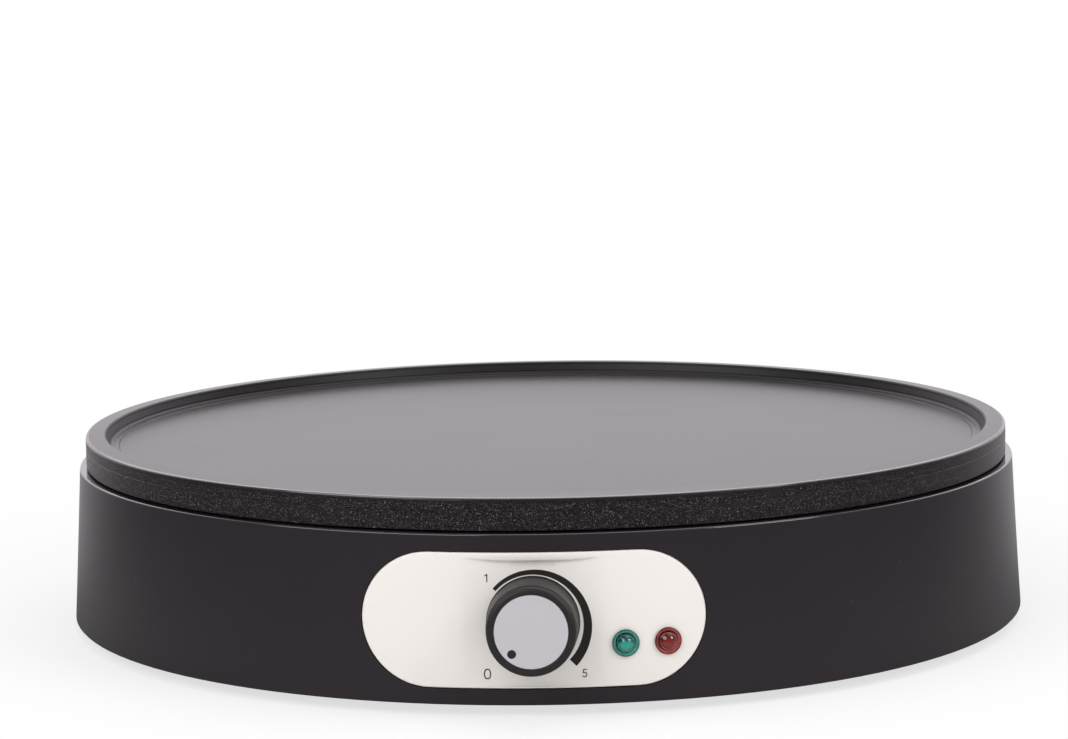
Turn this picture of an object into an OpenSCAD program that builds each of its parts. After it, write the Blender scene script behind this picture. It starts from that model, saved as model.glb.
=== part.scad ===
// Electric crepe maker: a cast griddle plate on a round moulded base, with a
// thermostat dial and two pilot lamps on a control panel at the front.
// Millimetres. +Z is up, the dial faces -Y, and Z = 0 is the table.

/* [Griddle plate] */
// Outer diameter of the cast plate
plate_d = 305; // [270:1:370]
// Height of the plate's visible side
plate_side_h = 9.75; // [8:0.05:14]
// Gap between the plate's lower edge and the housing
plate_gap = 0.5; // [0.4:0.1:2]
// Width of the raised rim, seen from above
rim_w = 6.8; // [5:0.1:10]
// How far the rim's top falls towards its outer edge
rim_fall = 0.35; // [0:0.05:0.6]
// Depth of the cooking face below the rim's inner edge
pan_depth = 4.2; // [3:0.1:6]
// Width of the fine ledge at the foot of the rim
ledge_w = 2; // [1:0.1:4]
// Height of that ledge above the cooking face
ledge_h = 0.3; // [0.1:0.05:0.6]
// Thickness of metal under the cooking face
plate_t = 4.6; // [4:0.1:7]
// Width of the skirt round the plate's underside
skirt_w = 5.5; // [4:0.1:9]
// Depth of the turning line on the plate's side
turning_line = 0.2; // [0.1:0.05:0.4]

/* [Housing] */
// Height of the moulded base, from its lower edge to its top
housing_h = 50.2; // [41:0.1:62]
// How far the base's top edge stands out beyond the plate
shell_overhang = 2.2; // [1:0.1:4]
// How far the base flares out from top to bottom
shell_flare = 2.9; // [1:0.1:5]
// Wall thickness of the moulding
wall_t = 3; // [2.4:0.1:4]
// Radius of the base's upper outer edge
shoulder_r = 0.6; // [0.4:0.1:2.4]
// Thickness of the flange under the plate
flange_t = 2.6; // [2:0.1:4]
// Inset of the flange's inner edge from the plate's edge
flange_inset = 16.5; // [14:0.5:22]
// Height of the drip lip under the flange
lip_h = 7; // [4:0.5:10]

/* [Bottom cover and feet] */
// Height of a foot below the base's lower edge
foot_h = 3; // [2:0.1:5]
// Radius of a foot
foot_r = 9; // [7:0.5:12]
// Radius of a foot's stem
foot_stem_r = 3; // [2.4:0.1:4]
// Inset of the feet from the plate's edge
foot_inset = 26.5; // [22:0.5:34]
// Thickness of the bottom cover
cover_t = 2.4; // [2:0.1:3.5]
// How far the cover sits up inside the base
cover_rise = 0.6; // [0.3:0.1:2]
// Width of a vent slot
vent_w = 3.2; // [2:0.1:4]
// Number of vent slots in the outer ring
vent_count = 24; // [12:2:30]

/* [Control panel] */
// Half of the panel's length, seen from the front
panel_half = 50.45; // [46:0.05:58]
// Height of base left below the panel
panel_low = 5; // [4:0.1:7]
// Height of base left above the panel
panel_high = 5.35; // [4.5:0.05:8]
// Thickness of the panel
panel_t = 3; // [2.6:0.1:4]
// Thickness of the pad behind the panel
pad_t = 2.5; // [2:0.1:4]
// Depth of the dial's flat at its middle
flat_depth = 1.36; // [0.9:0.02:1.5]
// Radius of the crescent edge above the dial's flat
crescent_r = 96; // [80:1:140]
// Height of the crescent's lowest point above the dial's centre
crescent_rise = 18.3; // [17:0.1:19]

/* [Dial and spindle] */
// Height of the dial's centre below the panel's centre
knob_drop = 0.8; // [0:0.1:1.5]
// Radius of the knob at its skirt
knob_r = 13.7; // [12.6:0.1:15]
// Radius of the knob at its front edge
knob_front_r = 13.05; // [12.2:0.05:14]
// Height of the knob
knob_h = 17.6; // [15:0.1:22]
// Gap under the knob when it is at its off stop
knob_gap = 1.2; // [1.1:0.1:2]
// Radius of the pale cap let into the knob
cap_r = 10.7; // [9:0.1:11]
// Distance of the pointer dot from the knob's centre
dot_at = 8.5; // [6:0.1:8.8]
// Radius of the pointer dot
dot_r = 1.3; // [0.8:0.1:1.5]
// Direction of the pointer dot at its off stop
dot_angle = 228.5; // [220:0.5:240]
// Radius of the spindle
spindle_r = 3; // [2.5:0.1:3.5]
// Distance from the spindle's axis to its flat
spindle_flat = 2.5; // [2:0.1:2.9]

/* [Pilot lamps] */
// Distance of each lamp from the dial, along the panel's face
lamp_at = [27, 39.6];
// Height of the lamps below the panel's centre
lamp_drop = 7.2; // [4:0.1:9]
// Radius of a lens flange
lens_r = 4.05; // [3.5:0.05:4.6]
// Radius of a lens barrel
barrel_r = 3; // [2.7:0.1:3.2]
// Length of a lens barrel
barrel_len = 9; // [8:0.5:12]

/* [Heating] */
// Inset of the element's circle from the plate's edge
element_inset = 48.5; // [44:0.5:54]
// Radius of the element's tube
element_r = 3.3; // [3:0.1:4]
// Radius of the element's bends down to its ends
element_bend = 12; // [10:0.5:16]
// Half of the gap between the element's ends, in degrees
element_gap = 20; // [17:1:28]
// Inset of the plate screws from the plate's edge
boss_inset = 28.5; // [26:0.5:32]
// Length of the plate's screw bosses
boss_len = 11; // [10:0.5:14]
// Thickness of the heat reflector
reflector_t = 0.6; // [0.4:0.1:1.2]
// Height of the heat reflector's rim
reflector_rim = 6; // [4:0.5:8]
// Height of the spacers between reflector and housing
spacer_h = 4; // [3:0.5:8]

/* [Cord entry] */
// Height of the cord entry above the table
cord_z = 17; // [16:0.5:20]
// Radius of the hole for the cord
cord_r = 3.6; // [3:0.1:4.2]

/* [Hidden] */

$fn = 96;

// Clearances
screw_fit = 0.05;    // a screw in the hole that it bites into
free_fit = 0.3;      // a screw or stem in a hole that it passes through
seat_gap = 0.1;      // between curved faces that seat on each other
panel_gap = 0.25;    // round the panel, in its pocket
run_fit = 0.05;      // a turning or sliding fit

// Heights
z_shell = foot_h;
z_top = z_shell + housing_h;
z_plate = z_top + plate_gap;
z_edge = z_plate + plate_side_h;
z_line = z_edge - 3.95;
z_rim = z_edge + rim_fall;
z_cook = z_rim - pan_depth;
z_under = z_cook - plate_t;
z_boss = z_under - boss_len;
z_reflector = z_boss - reflector_t;
z_lug = z_reflector - spacer_h;
lug_t = 4;
washer_t = 1;
z_washer = z_lug - lug_t - washer_t;
z_cover = z_shell + cover_rise;
z_floor = z_cover + cover_t;

// Radii
plate_r = plate_d / 2;
rim_in_r = plate_r - rim_w;
shell_r_top = plate_r + shell_overhang;
shell_r_bot = shell_r_top + shell_flare;
wall_slope = shell_flare / housing_h;
wall_tilt = atan(wall_slope);
flange_r = plate_r - flange_inset;
boss_ring = plate_r - boss_inset;
element_ring = plate_r - element_inset;
foot_ring = plate_r - foot_inset;
lip_t = 2.4;
reflector_r = flange_r - 2.5;
post_r = 4;
post_ring = flange_r + 5;
boss_r = 6;
well_h = 6.4;
z_post = z_cover + well_h;

// Outer radius of the base's wall at a height
function wall_r(z) = shell_r_bot - (z - z_shell) * wall_slope;

// Panel and dial places
panel_h = housing_h - panel_low - panel_high;
panel_end_r = panel_h / 2;
z_panel = z_shell + panel_low + panel_end_r;
z_knob = z_panel - knob_drop;
y_flat = -(wall_r(z_knob) - flat_depth);
pocket_depth = panel_t + seat_gap;
pad_depth = pocket_depth + pad_t;
pad_lap = 3.5;
recess_foot = 0.7;
lens_z = z_panel - lamp_drop;
lens_seat = 0.06;

// Fasteners: shank radius, head radius, head height
plate_screw = [2, 4, 2.8];
cover_screw = [1.75, 3.5, 2.2];
strap_screw = [1.5, 2.8, 1.8];
small_screw = [1.45, 2.7, 1.8];

// Thermostat, measured along the spindle from the dial's flat, inwards
frame_s = 12;
frame_t = 1.2;
frame_half = 8;
ear_at = [-29.5, 15.5];
stack_at = -17;
stack_r = 5.5;
stack_bore = 2;
spindle_end = 15;
spindle_out = 13.5;
pin_r = 1.5;
pin_pocket = 2;
thread_pitch = 1;
full_turn = 272;
feed = thread_pitch * full_turn / 360;
bush_r = 5;
leaf_s = 20;
leaf_t = 0.4;
pin_top = spindle_end - pin_pocket + run_fit;
pin_len = leaf_s - pin_top - feed - run_fit;
tab_t = 0.8;
fixed_s = 23.8;
fixed_t = 0.6;
bimetal_s = 29;
bimetal_t = 0.8;
bracket_s = bimetal_s + bimetal_t;
bracket_t = 1.2;
tab_end = -30;
contact_at = 5.5;
button_at = 1;

// Sensor foot on the plate
sensor_boss_len = 7.8;
sensor_boss_r = 5;
sensor_ring = plate_r - 35;
z_sensor = z_under - sensor_boss_len;
y_sensor = -sqrt(sensor_ring * sensor_ring - stack_at * stack_at);

// Element and its straps
groove_gap = 0.2;
z_element = z_under - element_r - groove_gap;
z_strap = z_element - element_r - groove_gap;
strap_t = 1.2;
strap_reach = element_r + 6.2;
strap_angles = [15, 165, 240, 300];
end_angle = 90 - element_gap;
tail_x = element_ring * cos(end_angle) - element_bend * sin(end_angle);
tail_y = element_ring * sin(end_angle) + element_bend * cos(end_angle);
bend_draw = 0.3;     // the tube thins a little in its bends
bend_lap = 2;
z_tail = z_reflector - 4.4;
end_bush_h = 3;
terminal_r = 1.3;
z_tab = z_tail - 16;

// Push-on sockets
socket_half = 4;
socket_grip = 0.8;
socket_lap = 7;
barrel_out = 7;
barrel_wall = 0.5;

// Cord entry's boss in the wall, and the bush's square neck and flange, as half widths and corners
cord_flat = shell_r_bot - 3;
cord_boss_t = 6;
cord_boss_r = 11.5;
cord_boss_in = shell_r_bot - cord_flat + cord_boss_t;
cord_neck = 6;
neck_corner = 1.5;
cord_flange = 8;
flange_corner = 2.5;
cord_lip = 7.2;
cord_lip_t = 1.6;

// Inner fittings that stand on the cover
block_at = [-50, 108];
block_size = [34, 16, 15];
z_block = z_floor + 3;
way_pitch = 10;
way_z = z_block + 5;
way_r = 2.2;
barrel_half = 5;
fuse_at = [-60, 7];
fuse_len = 34;
fuse_sleeve_r = 3;
z_fuse = z_reflector - fuse_sleeve_r - 1.2;
earth_at = [-46, 74];
cap_at = [34, -104];
z_cap = 16;

// Wires, and the free stretches of their routes about the plate's axis
wire_r = 1.2;
lamp_wire_r = 0.9;
live_route = [[-70, 86, 14], [-86, 56, 14], [-96, 10, 14], [-92, -46, 14], [-76, -92, 15],
              [-56, -122, 21]];
neutral_route = [[-38, 90, 11.5], [-29, 92, 9.5]];
earth_route = [[-49, 90, 17], [-47, 84, 24]];
switched_route = [[-54, -106, 28], [-60, -72, 31], [-61, -38, 36]];
fuse_route = [[16, 90, 10], [2, 80, 13], [-22, 64, 18], [-44, 48, 27], [-58, 38, 36]];
lamp_routes = [[[24, -108, 14], [20, -104, 15]], [[12, -102, 16], [14, -102, 17]]];
supply_route = [[14, -96, 13], [2, -76, 11.5], [-6, -40, 11], [-9, 0, 11], [-15, 40, 11],
                [-32, 72, 11], [-41, 88, 12.5]];

// Extremes that set the origin's place
knob_edge_r = 1.2;
knob_front_edge = knob_front_r - knob_edge_r;
foot_edge = 0.5;
front_y = y_flat - (knob_gap + knob_h) * cos(wall_tilt) - knob_front_edge * sin(wall_tilt);
back_y = wall_r(z_shell + foot_edge);
frame_shift = -(front_y + back_y) / 2;

// ---------------------------------------------------------------- helpers

// Points of an arc in the plane
function arc(cx, cy, r, a0, a1, n = 6) =
    [for (i = [0:n]) let (a = a0 + (a1 - a0) * i / n) [cx + r * cos(a), cy + r * sin(a)]];

// Points of a square with rounded corners
function round_square(half, r) = let (c = half - r) concat(
    arc(c, c, r, 0, 90, 4), arc(-c, c, r, 90, 180, 4),
    arc(-c, -c, r, 180, 270, 4), arc(c, -c, r, 270, 360, 4));

function unit(v) = v / norm(v);

// A smooth curve through a list of points
function bend(a, b, c, d, t) =
    0.5 * (2 * b + (c - a) * t + (2 * a - 5 * b + 4 * c - d) * t * t
           + (3 * b - a - 3 * c + d) * t * t * t);
function curve(p, n) = concat(
    [for (i = [0:len(p) - 2]) for (k = [0:n - 1])
        bend(p[max(i - 1, 0)], p[i], p[i + 1], p[min(i + 2, len(p) - 1)], k / n)],
    [p[len(p) - 1]]);
function headings(c) = [for (i = [0:len(c) - 1])
    unit(c[min(i + 1, len(c) - 1)] - c[max(i - 1, 0)])];
function sides_of(t, s, i = 0, got = []) = i == len(t) ? got :
    let (v = unit(s - (s * t[i]) * t[i])) sides_of(t, v, i + 1, concat(got, [v]));

// A round wire through a list of points
module wire(points, r, steps = 5, sides = 8) {
    c = curve(points, steps);
    t = headings(c);
    s = sides_of(t, cross(t[0], [0.31, 0.17, 0.93]));
    rings = len(c);
    pts = [for (i = [0:rings - 1]) for (k = [0:sides - 1])
        let (a = 360 * k / sides) c[i] + r * (cos(a) * s[i] + sin(a) * cross(t[i], s[i]))];
    walls = [for (i = [0:rings - 2]) for (k = [0:sides - 1])
        [i * sides + k, (i + 1) * sides + k,
         (i + 1) * sides + (k + 1) % sides, i * sides + (k + 1) % sides]];
    first = [for (k = [0:sides - 1]) k];
    last = [for (k = [sides - 1:-1:0]) (rings - 1) * sides + k];
    polyhedron(points = pts, faces = concat(walls, [first], [last]), convexity = 6);
}

// Moves the model, built about the plate's axis, to its own origin
module in_frame() {
    translate([0, frame_shift, 0]) children();
}

// Places children at the dial's centre, -Y along the spindle and outwards
module on_spindle() {
    translate([0, y_flat, z_knob]) rotate([-wall_tilt, 0, 0]) children();
}

// Places children at a pilot lamp, -Y square to the panel's face and outwards
module on_lamp(i) {
    rotate([0, 0, lamp_at[i] / wall_r(lens_z) * 180 / PI])
        translate([0, -wall_r(lens_z), lens_z]) rotate([-wall_tilt, 0, 0]) children();
}

// A rod along -Y, from depth a to depth b, where depths grow inwards
module rod(a, b, r) {
    translate([0, b, 0]) rotate([90, 0, 0]) cylinder(h = b - a, r = r);
}

// A bar of rounded square section along Y
module square_rod(y0, y1, half, r) {
    translate([0, y1, 0]) rotate([90, 0, 0]) linear_extrude(y1 - y0) polygon(round_square(half, r));
}

// A flat strip square to the spindle
module strip(x0, x1, half, s, t) {
    translate([x0, s, -half]) cube([x1 - x0, t, 2 * half]);
}

module ring(r_in, r_out, z, h) {
    translate([0, 0, z]) difference() {
        cylinder(h = h, r = r_out);
        translate([0, 0, -1]) cylinder(h = h + 2, r = r_in);
    }
}

module around(count, r, start = 0) {
    for (i = [0:count - 1])
        rotate([0, 0, start + i * 360 / count]) translate([r, 0, 0]) children();
}

// A pan-head screw, head down, with the head's bearing face at the origin
module screw_up(size, len) {
    cylinder(h = len, r = size[0], $fn = 32);
    translate([0, 0, -size[2]]) difference() {
        rotate_extrude($fn = 48) polygon(concat(
            [[0, 0], [size[1] * 0.72, 0]],
            arc(size[1] * 0.72, size[1] * 0.28, size[1] * 0.28, -90, 0, 4),
            [[size[1], size[2]], [0, size[2]]]));
        for (a = [0, 90]) rotate([0, 0, a])
            translate([-size[1] * 0.5, -0.35, -0.01]) cube([size[1], 0.7, size[2] * 0.5]);
    }
}

// The base's outer cone, grown by a distance
module wall_cone(grow, z0 = z_shell, z1 = z_top) {
    translate([0, 0, z0])
        cylinder(h = z1 - z0, r1 = wall_r(z0) + grow, r2 = wall_r(z1) + grow, $fn = 180);
}

// The panel's outline, grown by a distance, as a prism through the front wall
module panel_prism(grow) {
    translate([0, -plate_r * 0.7, z_panel]) rotate([90, 0, 0]) linear_extrude(height = plate_r)
        union() {
            for (sx = [-1, 1]) translate([sx * (panel_half - panel_end_r), 0])
                circle(r = panel_end_r + grow, $fn = 96);
            square([2 * (panel_half - panel_end_r), 2 * (panel_end_r + grow)], center = true);
        }
}

// A slice of the front wall inside the panel's outline
module panel_skin(outer, inner, grow) {
    intersection() {
        difference() {
            wall_cone(outer);
            wall_cone(inner, z_shell - 1, z_top + 1);
        }
        panel_prism(grow);
    }
}

panel_screw_at = [[-40, 7.5], [-40, -7.5], [42, 6.5]];

// Depth where a panel screw's head bears, behind the pad
function screw_seat(x, z) = 1 - sqrt(pow(wall_r(z) - pad_depth, 2) - pow(abs(x) + 4.5, 2));

// Depth of the pad's middle behind a point beside the spindle
function pad_mid(x) = pocket_depth + pad_t / 2 - flat_depth + x * x / (2 * wall_r(z_knob));

// ---------------------------------------------------------- griddle plate

module griddle_plate() {
    rib_w = 2.4;
    edge = 0.8;
    wall_run = 0.9;
    hole_top = z_cook - 2.6;
    color([0.16, 0.155, 0.16]) difference() {
        union() {
            rotate_extrude($fn = 180) polygon(concat(
                [[0, z_under], [plate_r - skirt_w, z_under], [plate_r - skirt_w, z_plate]],
                arc(plate_r - 0.4, z_plate + 0.4, 0.4, -90, 0, 3),
                [[plate_r, z_line - 0.2], [plate_r - turning_line, z_line],
                 [plate_r, z_line + 0.2]],
                arc(plate_r - edge, z_edge - edge, edge, 0, 90, 4),
                arc(rim_in_r + 1, z_rim - 1, 1, 90, 180, 4),
                arc(rim_in_r - wall_run - 1, z_cook + ledge_h + 1, 1, 0, -90, 4),
                [[rim_in_r - wall_run - 1 - ledge_w, z_cook + ledge_h],
                 [rim_in_r - wall_run - 1.3 - ledge_w, z_cook], [0, z_cook]]));
            ring(element_ring - element_r - groove_gap - rib_w,
                 element_ring + element_r + groove_gap + rib_w,
                 z_element - element_r - groove_gap, z_under - z_element + element_r + groove_gap + 0.5);
            around(4, boss_ring, 45) translate([0, 0, z_boss])
                cylinder(h = boss_len + 1, r = boss_r, $fn = 48);
            translate([stack_at, y_sensor, z_sensor])
                cylinder(h = sensor_boss_len + 1, r = sensor_boss_r, $fn = 48);
            at_straps() translate([0, 0, z_strap])
                cylinder(h = z_under - z_strap + 1, r = 3.4, $fn = 40);
        }
        rotate_extrude($fn = 180) translate([element_ring, z_element])
            circle(r = element_r + groove_gap, $fn = 40);
        ring(element_ring - element_r - groove_gap, element_ring + element_r + groove_gap,
             z_element - element_r - 2, element_r + 2);
        around(4, boss_ring, 45) translate([0, 0, z_boss - 1])
            cylinder(h = hole_top - z_boss + 1, r = plate_screw[0] + screw_fit, $fn = 32);
        translate([stack_at, y_sensor, z_sensor - 1])
            cylinder(h = hole_top - z_sensor + 1, r = plate_screw[0] + screw_fit, $fn = 32);
        at_straps() translate([0, 0, z_strap - 1])
            cylinder(h = hole_top - z_strap + 1, r = strap_screw[0] + screw_fit, $fn = 32);
        translate([-tail_x - 9, element_ring - 22, z_boss]) cube([2 * tail_x + 18, 44, boss_len]);
    }
}

// ---------------------------------------------------------------- heating

module element_end(side) {
    heading = side > 0 ? 90 + end_angle : 90 - end_angle;
    translate([side * element_ring * cos(end_angle), element_ring * sin(end_angle),
               z_element - element_bend])
        rotate([0, 0, heading]) rotate([90, 0, 0]) rotate_extrude(angle = 90 + bend_lap, $fn = 96)
            translate([element_bend, 0]) circle(r = element_r - bend_draw, $fn = 32);
    translate([side * tail_x, tail_y, z_tail])
        cylinder(h = z_element - element_bend - z_tail, r = element_r, $fn = 32);
}

module heating_element() {
    color([0.55, 0.53, 0.5]) union() {
        rotate([0, 0, 180 - end_angle]) rotate_extrude(angle = 180 + 2 * end_angle, $fn = 120)
            translate([element_ring, z_element]) circle(r = element_r, $fn = 32);
        for (side = [-1, 1]) element_end(side);
    }
}

module at_tails() {
    for (side = [-1, 1]) translate([side * tail_x, tail_y, 0]) children();
}

module element_bushes() {
    color([0.9, 0.88, 0.82]) at_tails()
        ring(terminal_r + screw_fit, element_r - 0.2, z_tail - end_bush_h, end_bush_h);
}

module element_terminals() {
    color([0.7, 0.7, 0.68]) at_tails() union() {
        translate([0, 0, z_tail - end_bush_h - 5])
            cylinder(h = end_bush_h + 5, r = terminal_r, $fn = 32);
        translate([-3.15, -tab_t / 2, z_tab]) cube([6.3, tab_t, 8.5]);
    }
}

// Places children at each strap screw
module at_straps() {
    for (a = strap_angles) for (side = [-1, 1])
        rotate([0, 0, a]) translate([element_ring + side * strap_reach, 0, 0]) children();
}

module element_straps() {
    color([0.66, 0.66, 0.66]) difference() {
        for (a = strap_angles) rotate([0, 0, a])
            translate([element_ring, 0, z_strap - strap_t]) linear_extrude(height = strap_t) union() {
                square([2 * strap_reach, 9], center = true);
                for (side = [-1, 1]) translate([side * strap_reach, 0]) circle(r = 4.5, $fn = 40);
            }
        at_straps() translate([0, 0, z_strap - strap_t - 1])
            cylinder(h = 4, r = strap_screw[0] + free_fit, $fn = 32);
    }
}

module strap_screws() {
    color([0.75, 0.75, 0.76]) at_straps() translate([0, 0, z_strap - strap_t])
        screw_up(strap_screw, 8);
}

module heat_reflector() {
    color([0.78, 0.78, 0.79]) difference() {
        rotate_extrude($fn = 180) polygon([[0, z_reflector], [reflector_r, z_reflector],
            [reflector_r, z_reflector + reflector_rim],
            [reflector_r - reflector_t, z_reflector + reflector_rim],
            [reflector_r - reflector_t, z_boss], [0, z_boss]]);
        around(4, boss_ring, 45) translate([0, 0, z_reflector - 1])
            cylinder(h = 4, r = plate_screw[0] + free_fit, $fn = 32);
        translate([stack_at - 7.5, y_sensor - 13, z_reflector - 1]) cube([15, 21, 4]);
        at_tails() for (back = [-4, 0]) translate([0, back, z_reflector - 1])
            cylinder(h = 4, r = element_r + 3, $fn = 40);
        translate([fuse_at[0] + 8, fuse_at[1], z_reflector - 1])
            cylinder(h = 4, r = small_screw[0] + screw_fit, $fn = 32);
        translate([earth_at[0], earth_at[1], z_reflector - 1])
            cylinder(h = 4, r = plate_screw[0] + free_fit, $fn = 32);
    }
}

module boss_spacers() {
    color([0.86, 0.84, 0.78]) around(4, boss_ring, 45)
        ring(plate_screw[0] + free_fit, boss_r, z_lug, spacer_h);
}

module plate_washers() {
    color([0.72, 0.72, 0.73]) around(4, boss_ring, 45)
        ring(plate_screw[0] + free_fit, 5, z_washer, washer_t);
}

module plate_screws() {
    color([0.75, 0.75, 0.76]) around(4, boss_ring, 45) translate([0, 0, z_washer])
        screw_up(plate_screw, 22);
}

// ---------------------------------------------------------------- housing

module shell_body() {
    z_in = z_top - flange_t;
    rotate_extrude($fn = 180) polygon(concat(
        [[wall_r(z_shell) - wall_t, z_shell], [wall_r(z_shell) - foot_edge, z_shell],
         [wall_r(z_shell + foot_edge), z_shell + foot_edge]],
        arc(wall_r(z_top) - shoulder_r, z_top - shoulder_r, shoulder_r, 0, 90, 6),
        [[flange_r, z_top], [flange_r, z_top - lip_h], [flange_r + lip_t, z_top - lip_h],
         [flange_r + lip_t, z_in], [wall_r(z_in) - wall_t, z_in]]));
}

module cover_posts() {
    around(6, post_ring) translate([0, 0, z_post])
        cylinder(h = z_top - flange_t - z_post + 0.5, r = post_r, $fn = 48);
}

module plate_lugs() {
    for (i = [0:3]) rotate([0, 0, 45 + 90 * i]) {
        translate([boss_ring, 0, z_lug - lug_t]) cylinder(h = lug_t, r = 8, $fn = 48);
        translate([boss_ring, -8, z_lug - lug_t]) cube([flange_r + lip_t + 1.6 - boss_ring, 16, lug_t]);
        translate([flange_r + 0.4, -8, z_lug - lug_t])
            cube([lip_t + 1.2, 16, z_top - flange_t - z_lug + lug_t + 0.5]);
    }
}

module housing_shell() {
    color([0.2, 0.195, 0.2]) difference() {
        union() {
            shell_body();
            cover_posts();
            plate_lugs();
            intersection() {
                panel_skin(-wall_t + 0.5, -pad_depth, pad_lap);
                translate([0, -plate_r, z_shell + 1])
                    translate([-plate_r, -20, 0]) cube([plate_d, plate_r, housing_h - flange_t - 0.5]);
            }
            on_spindle() for (x = ear_at) translate([x, 0, 0]) rod(pad_mid(x), frame_s, 3.5);
            for (p = panel_screw_at) translate([p[0], screw_seat(p[0], z_panel + p[1]), z_panel + p[1]])
                rotate([90, 0, 0]) cylinder(h = 4.5, r = 4.5, $fn = 48);
            translate([0, cord_flat, cord_z]) rotate([90, 0, 0])
                cylinder(h = cord_boss_t, r = cord_boss_r, $fn = 64);
        }
        panel_skin(2, -pocket_depth, panel_gap);
        on_spindle() rod(-2, 8, 6.5);
        on_spindle() for (x = ear_at) translate([x, 0, 0])
            rod(frame_s - 6, frame_s + 1, small_screw[0] + screw_fit);
        for (i = [0, 1]) on_lamp(i) rod(1, pad_depth + 2, barrel_r + free_fit);
        for (p = panel_screw_at) translate([p[0], screw_seat(p[0], z_panel + p[1]) + 1, z_panel + p[1]])
            rotate([90, 0, 0]) cylinder(h = 12, r = 3.1, $fn = 40);
        around(6, post_ring) translate([0, 0, z_post - 1])
            cylinder(h = 15, r = cover_screw[0] + screw_fit, $fn = 32);
        around(4, boss_ring, 45) translate([0, 0, z_lug - lug_t - 1])
            cylinder(h = lug_t + 2, r = plate_screw[0] + free_fit, $fn = 32);
        translate([0, 0, cord_z]) {
            square_rod(cord_flat, shell_r_bot + 2, cord_flange + free_fit, flange_corner + free_fit);
            square_rod(cord_flat - cord_boss_t - 2, shell_r_bot, cord_neck + seat_gap,
                       neck_corner + seat_gap);
        }
    }
}

// ---------------------------------------------------- bottom cover and feet

module slot_row(count, r0, r1, start) {
    for (i = [0:count - 1]) rotate([0, 0, start + i * 360 / count]) {
        translate([r0, -vent_w / 2, z_cover - 1]) cube([r1 - r0, vent_w, cover_t + 2]);
        for (r = [r0, r1]) translate([r, 0, z_cover - 1])
            cylinder(h = cover_t + 2, r = vent_w / 2, $fn = 32);
    }
}

module bottom_cover() {
    edge_r = wall_r(z_cover) - wall_t - 0.5;
    color([0.13, 0.13, 0.135]) difference() {
        union() {
            translate([0, 0, z_cover]) cylinder(h = cover_t, r = edge_r, $fn = 180);
            ring(edge_r - 2, edge_r, z_cover, cover_t + 3);
            ring(58, 59.6, z_cover, cover_t + 2);
            ring(element_ring + 5, element_ring + 6.6, z_cover, cover_t + 2);
            around(6, post_ring) translate([0, 0, z_cover]) cylinder(h = well_h, r = 6, $fn = 48);
            for (sx = [-1, 1])
                translate([block_at[0] + sx * way_pitch / 2, block_at[1], z_cover])
                    cylinder(h = z_block - z_cover, r = 3.6, $fn = 48);
        }
        panel_skin(0, -pad_depth - free_fit, pad_lap + free_fit);
        translate([0, 0, cord_z])
            square_rod(shell_r_bot - cord_boss_in - free_fit, shell_r_bot, cord_boss_r + free_fit, 2);
        around(6, post_ring) translate([0, 0, z_cover - 1])
            cylinder(h = well_h - 1, r = cover_screw[1] + 0.4, $fn = 48);
        around(6, post_ring) translate([0, 0, z_cover])
            cylinder(h = well_h + 1, r = cover_screw[0] + free_fit, $fn = 32);
        around(4, foot_ring, 45) translate([0, 0, z_cover - 1])
            cylinder(h = cover_t + 2, r = foot_stem_r + seat_gap, $fn = 40);
        for (sx = [-1, 1])
            translate([block_at[0] + sx * way_pitch / 2, block_at[1], z_cover + 1])
                cylinder(h = z_block, r = small_screw[0] + screw_fit, $fn = 32);
        slot_row(vent_count, 68, 92, 7.5);
        slot_row(12, 24, 48, 15);
    }
}

module cover_screws() {
    color([0.72, 0.72, 0.73]) around(6, post_ring)
        translate([0, 0, z_post - 2]) screw_up(cover_screw, 14);
}

module rubber_feet() {
    head_r = foot_stem_r + 1.2;
    color([0.1, 0.1, 0.1]) around(4, foot_ring, 45) rotate_extrude($fn = 64) polygon([
        [0, 0.6], [3.4, 0.6], [4, 0], [foot_r - 0.8, 0], [foot_r, 0.8], [foot_r - 0.4, z_cover],
        [foot_stem_r, z_cover], [foot_stem_r, z_floor], [head_r, z_floor],
        [head_r - 0.4, z_floor + 1.2], [foot_stem_r - 0.8, z_floor + 2.6], [0, z_floor + 2.6]]);
}

// ---------------------------------------------------------- control panel

module control_panel() {
    flat_w = 60;
    low = z_knob - z_shell - panel_low - recess_foot;
    color([0.92, 0.9, 0.87]) difference() {
        union() {
            panel_skin(0, -panel_t, 0);
            for (p = panel_screw_at) intersection() {
                translate([p[0], screw_seat(p[0], z_panel + p[1]) - 0.3, z_panel + p[1]])
                    rotate([90, 0, 0]) cylinder(h = 12, r = 2.8, $fn = 40);
                wall_cone(-panel_t + 0.5);
            }
        }
        on_spindle() rotate([90, 0, 0]) linear_extrude(height = 8) difference() {
            translate([-flat_w / 2, -low]) square([flat_w, low + panel_end_r + 4]);
            translate([0, crescent_rise + crescent_r]) circle(r = crescent_r, $fn = 180);
        }
        on_spindle() rod(-3, 8, spindle_r + 1);
        for (i = [0, 1]) on_lamp(i) rod(-2, 8, barrel_r + seat_gap);
        for (p = panel_screw_at) translate([p[0], screw_seat(p[0], z_panel + p[1]), z_panel + p[1]])
            rotate([90, 0, 0]) cylinder(h = 6.2, r = small_screw[0] + screw_fit, $fn = 32);
    }
}

module panel_screws() {
    color([0.72, 0.72, 0.73]) for (p = panel_screw_at)
        translate([p[0], screw_seat(p[0], z_panel + p[1]), z_panel + p[1]])
            rotate([90, 0, 0]) {
                screw_up(small_screw, 6);
                difference() {
                    translate([0, 0, -0.6]) cylinder(h = 0.6, r = 4, $fn = 48);
                    translate([0, 0, -1]) cylinder(h = 1.4, r = small_screw[0] * 0.8, $fn = 32);
                }
            }
}

// ------------------------------------------------------- knob and spindle

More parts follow.
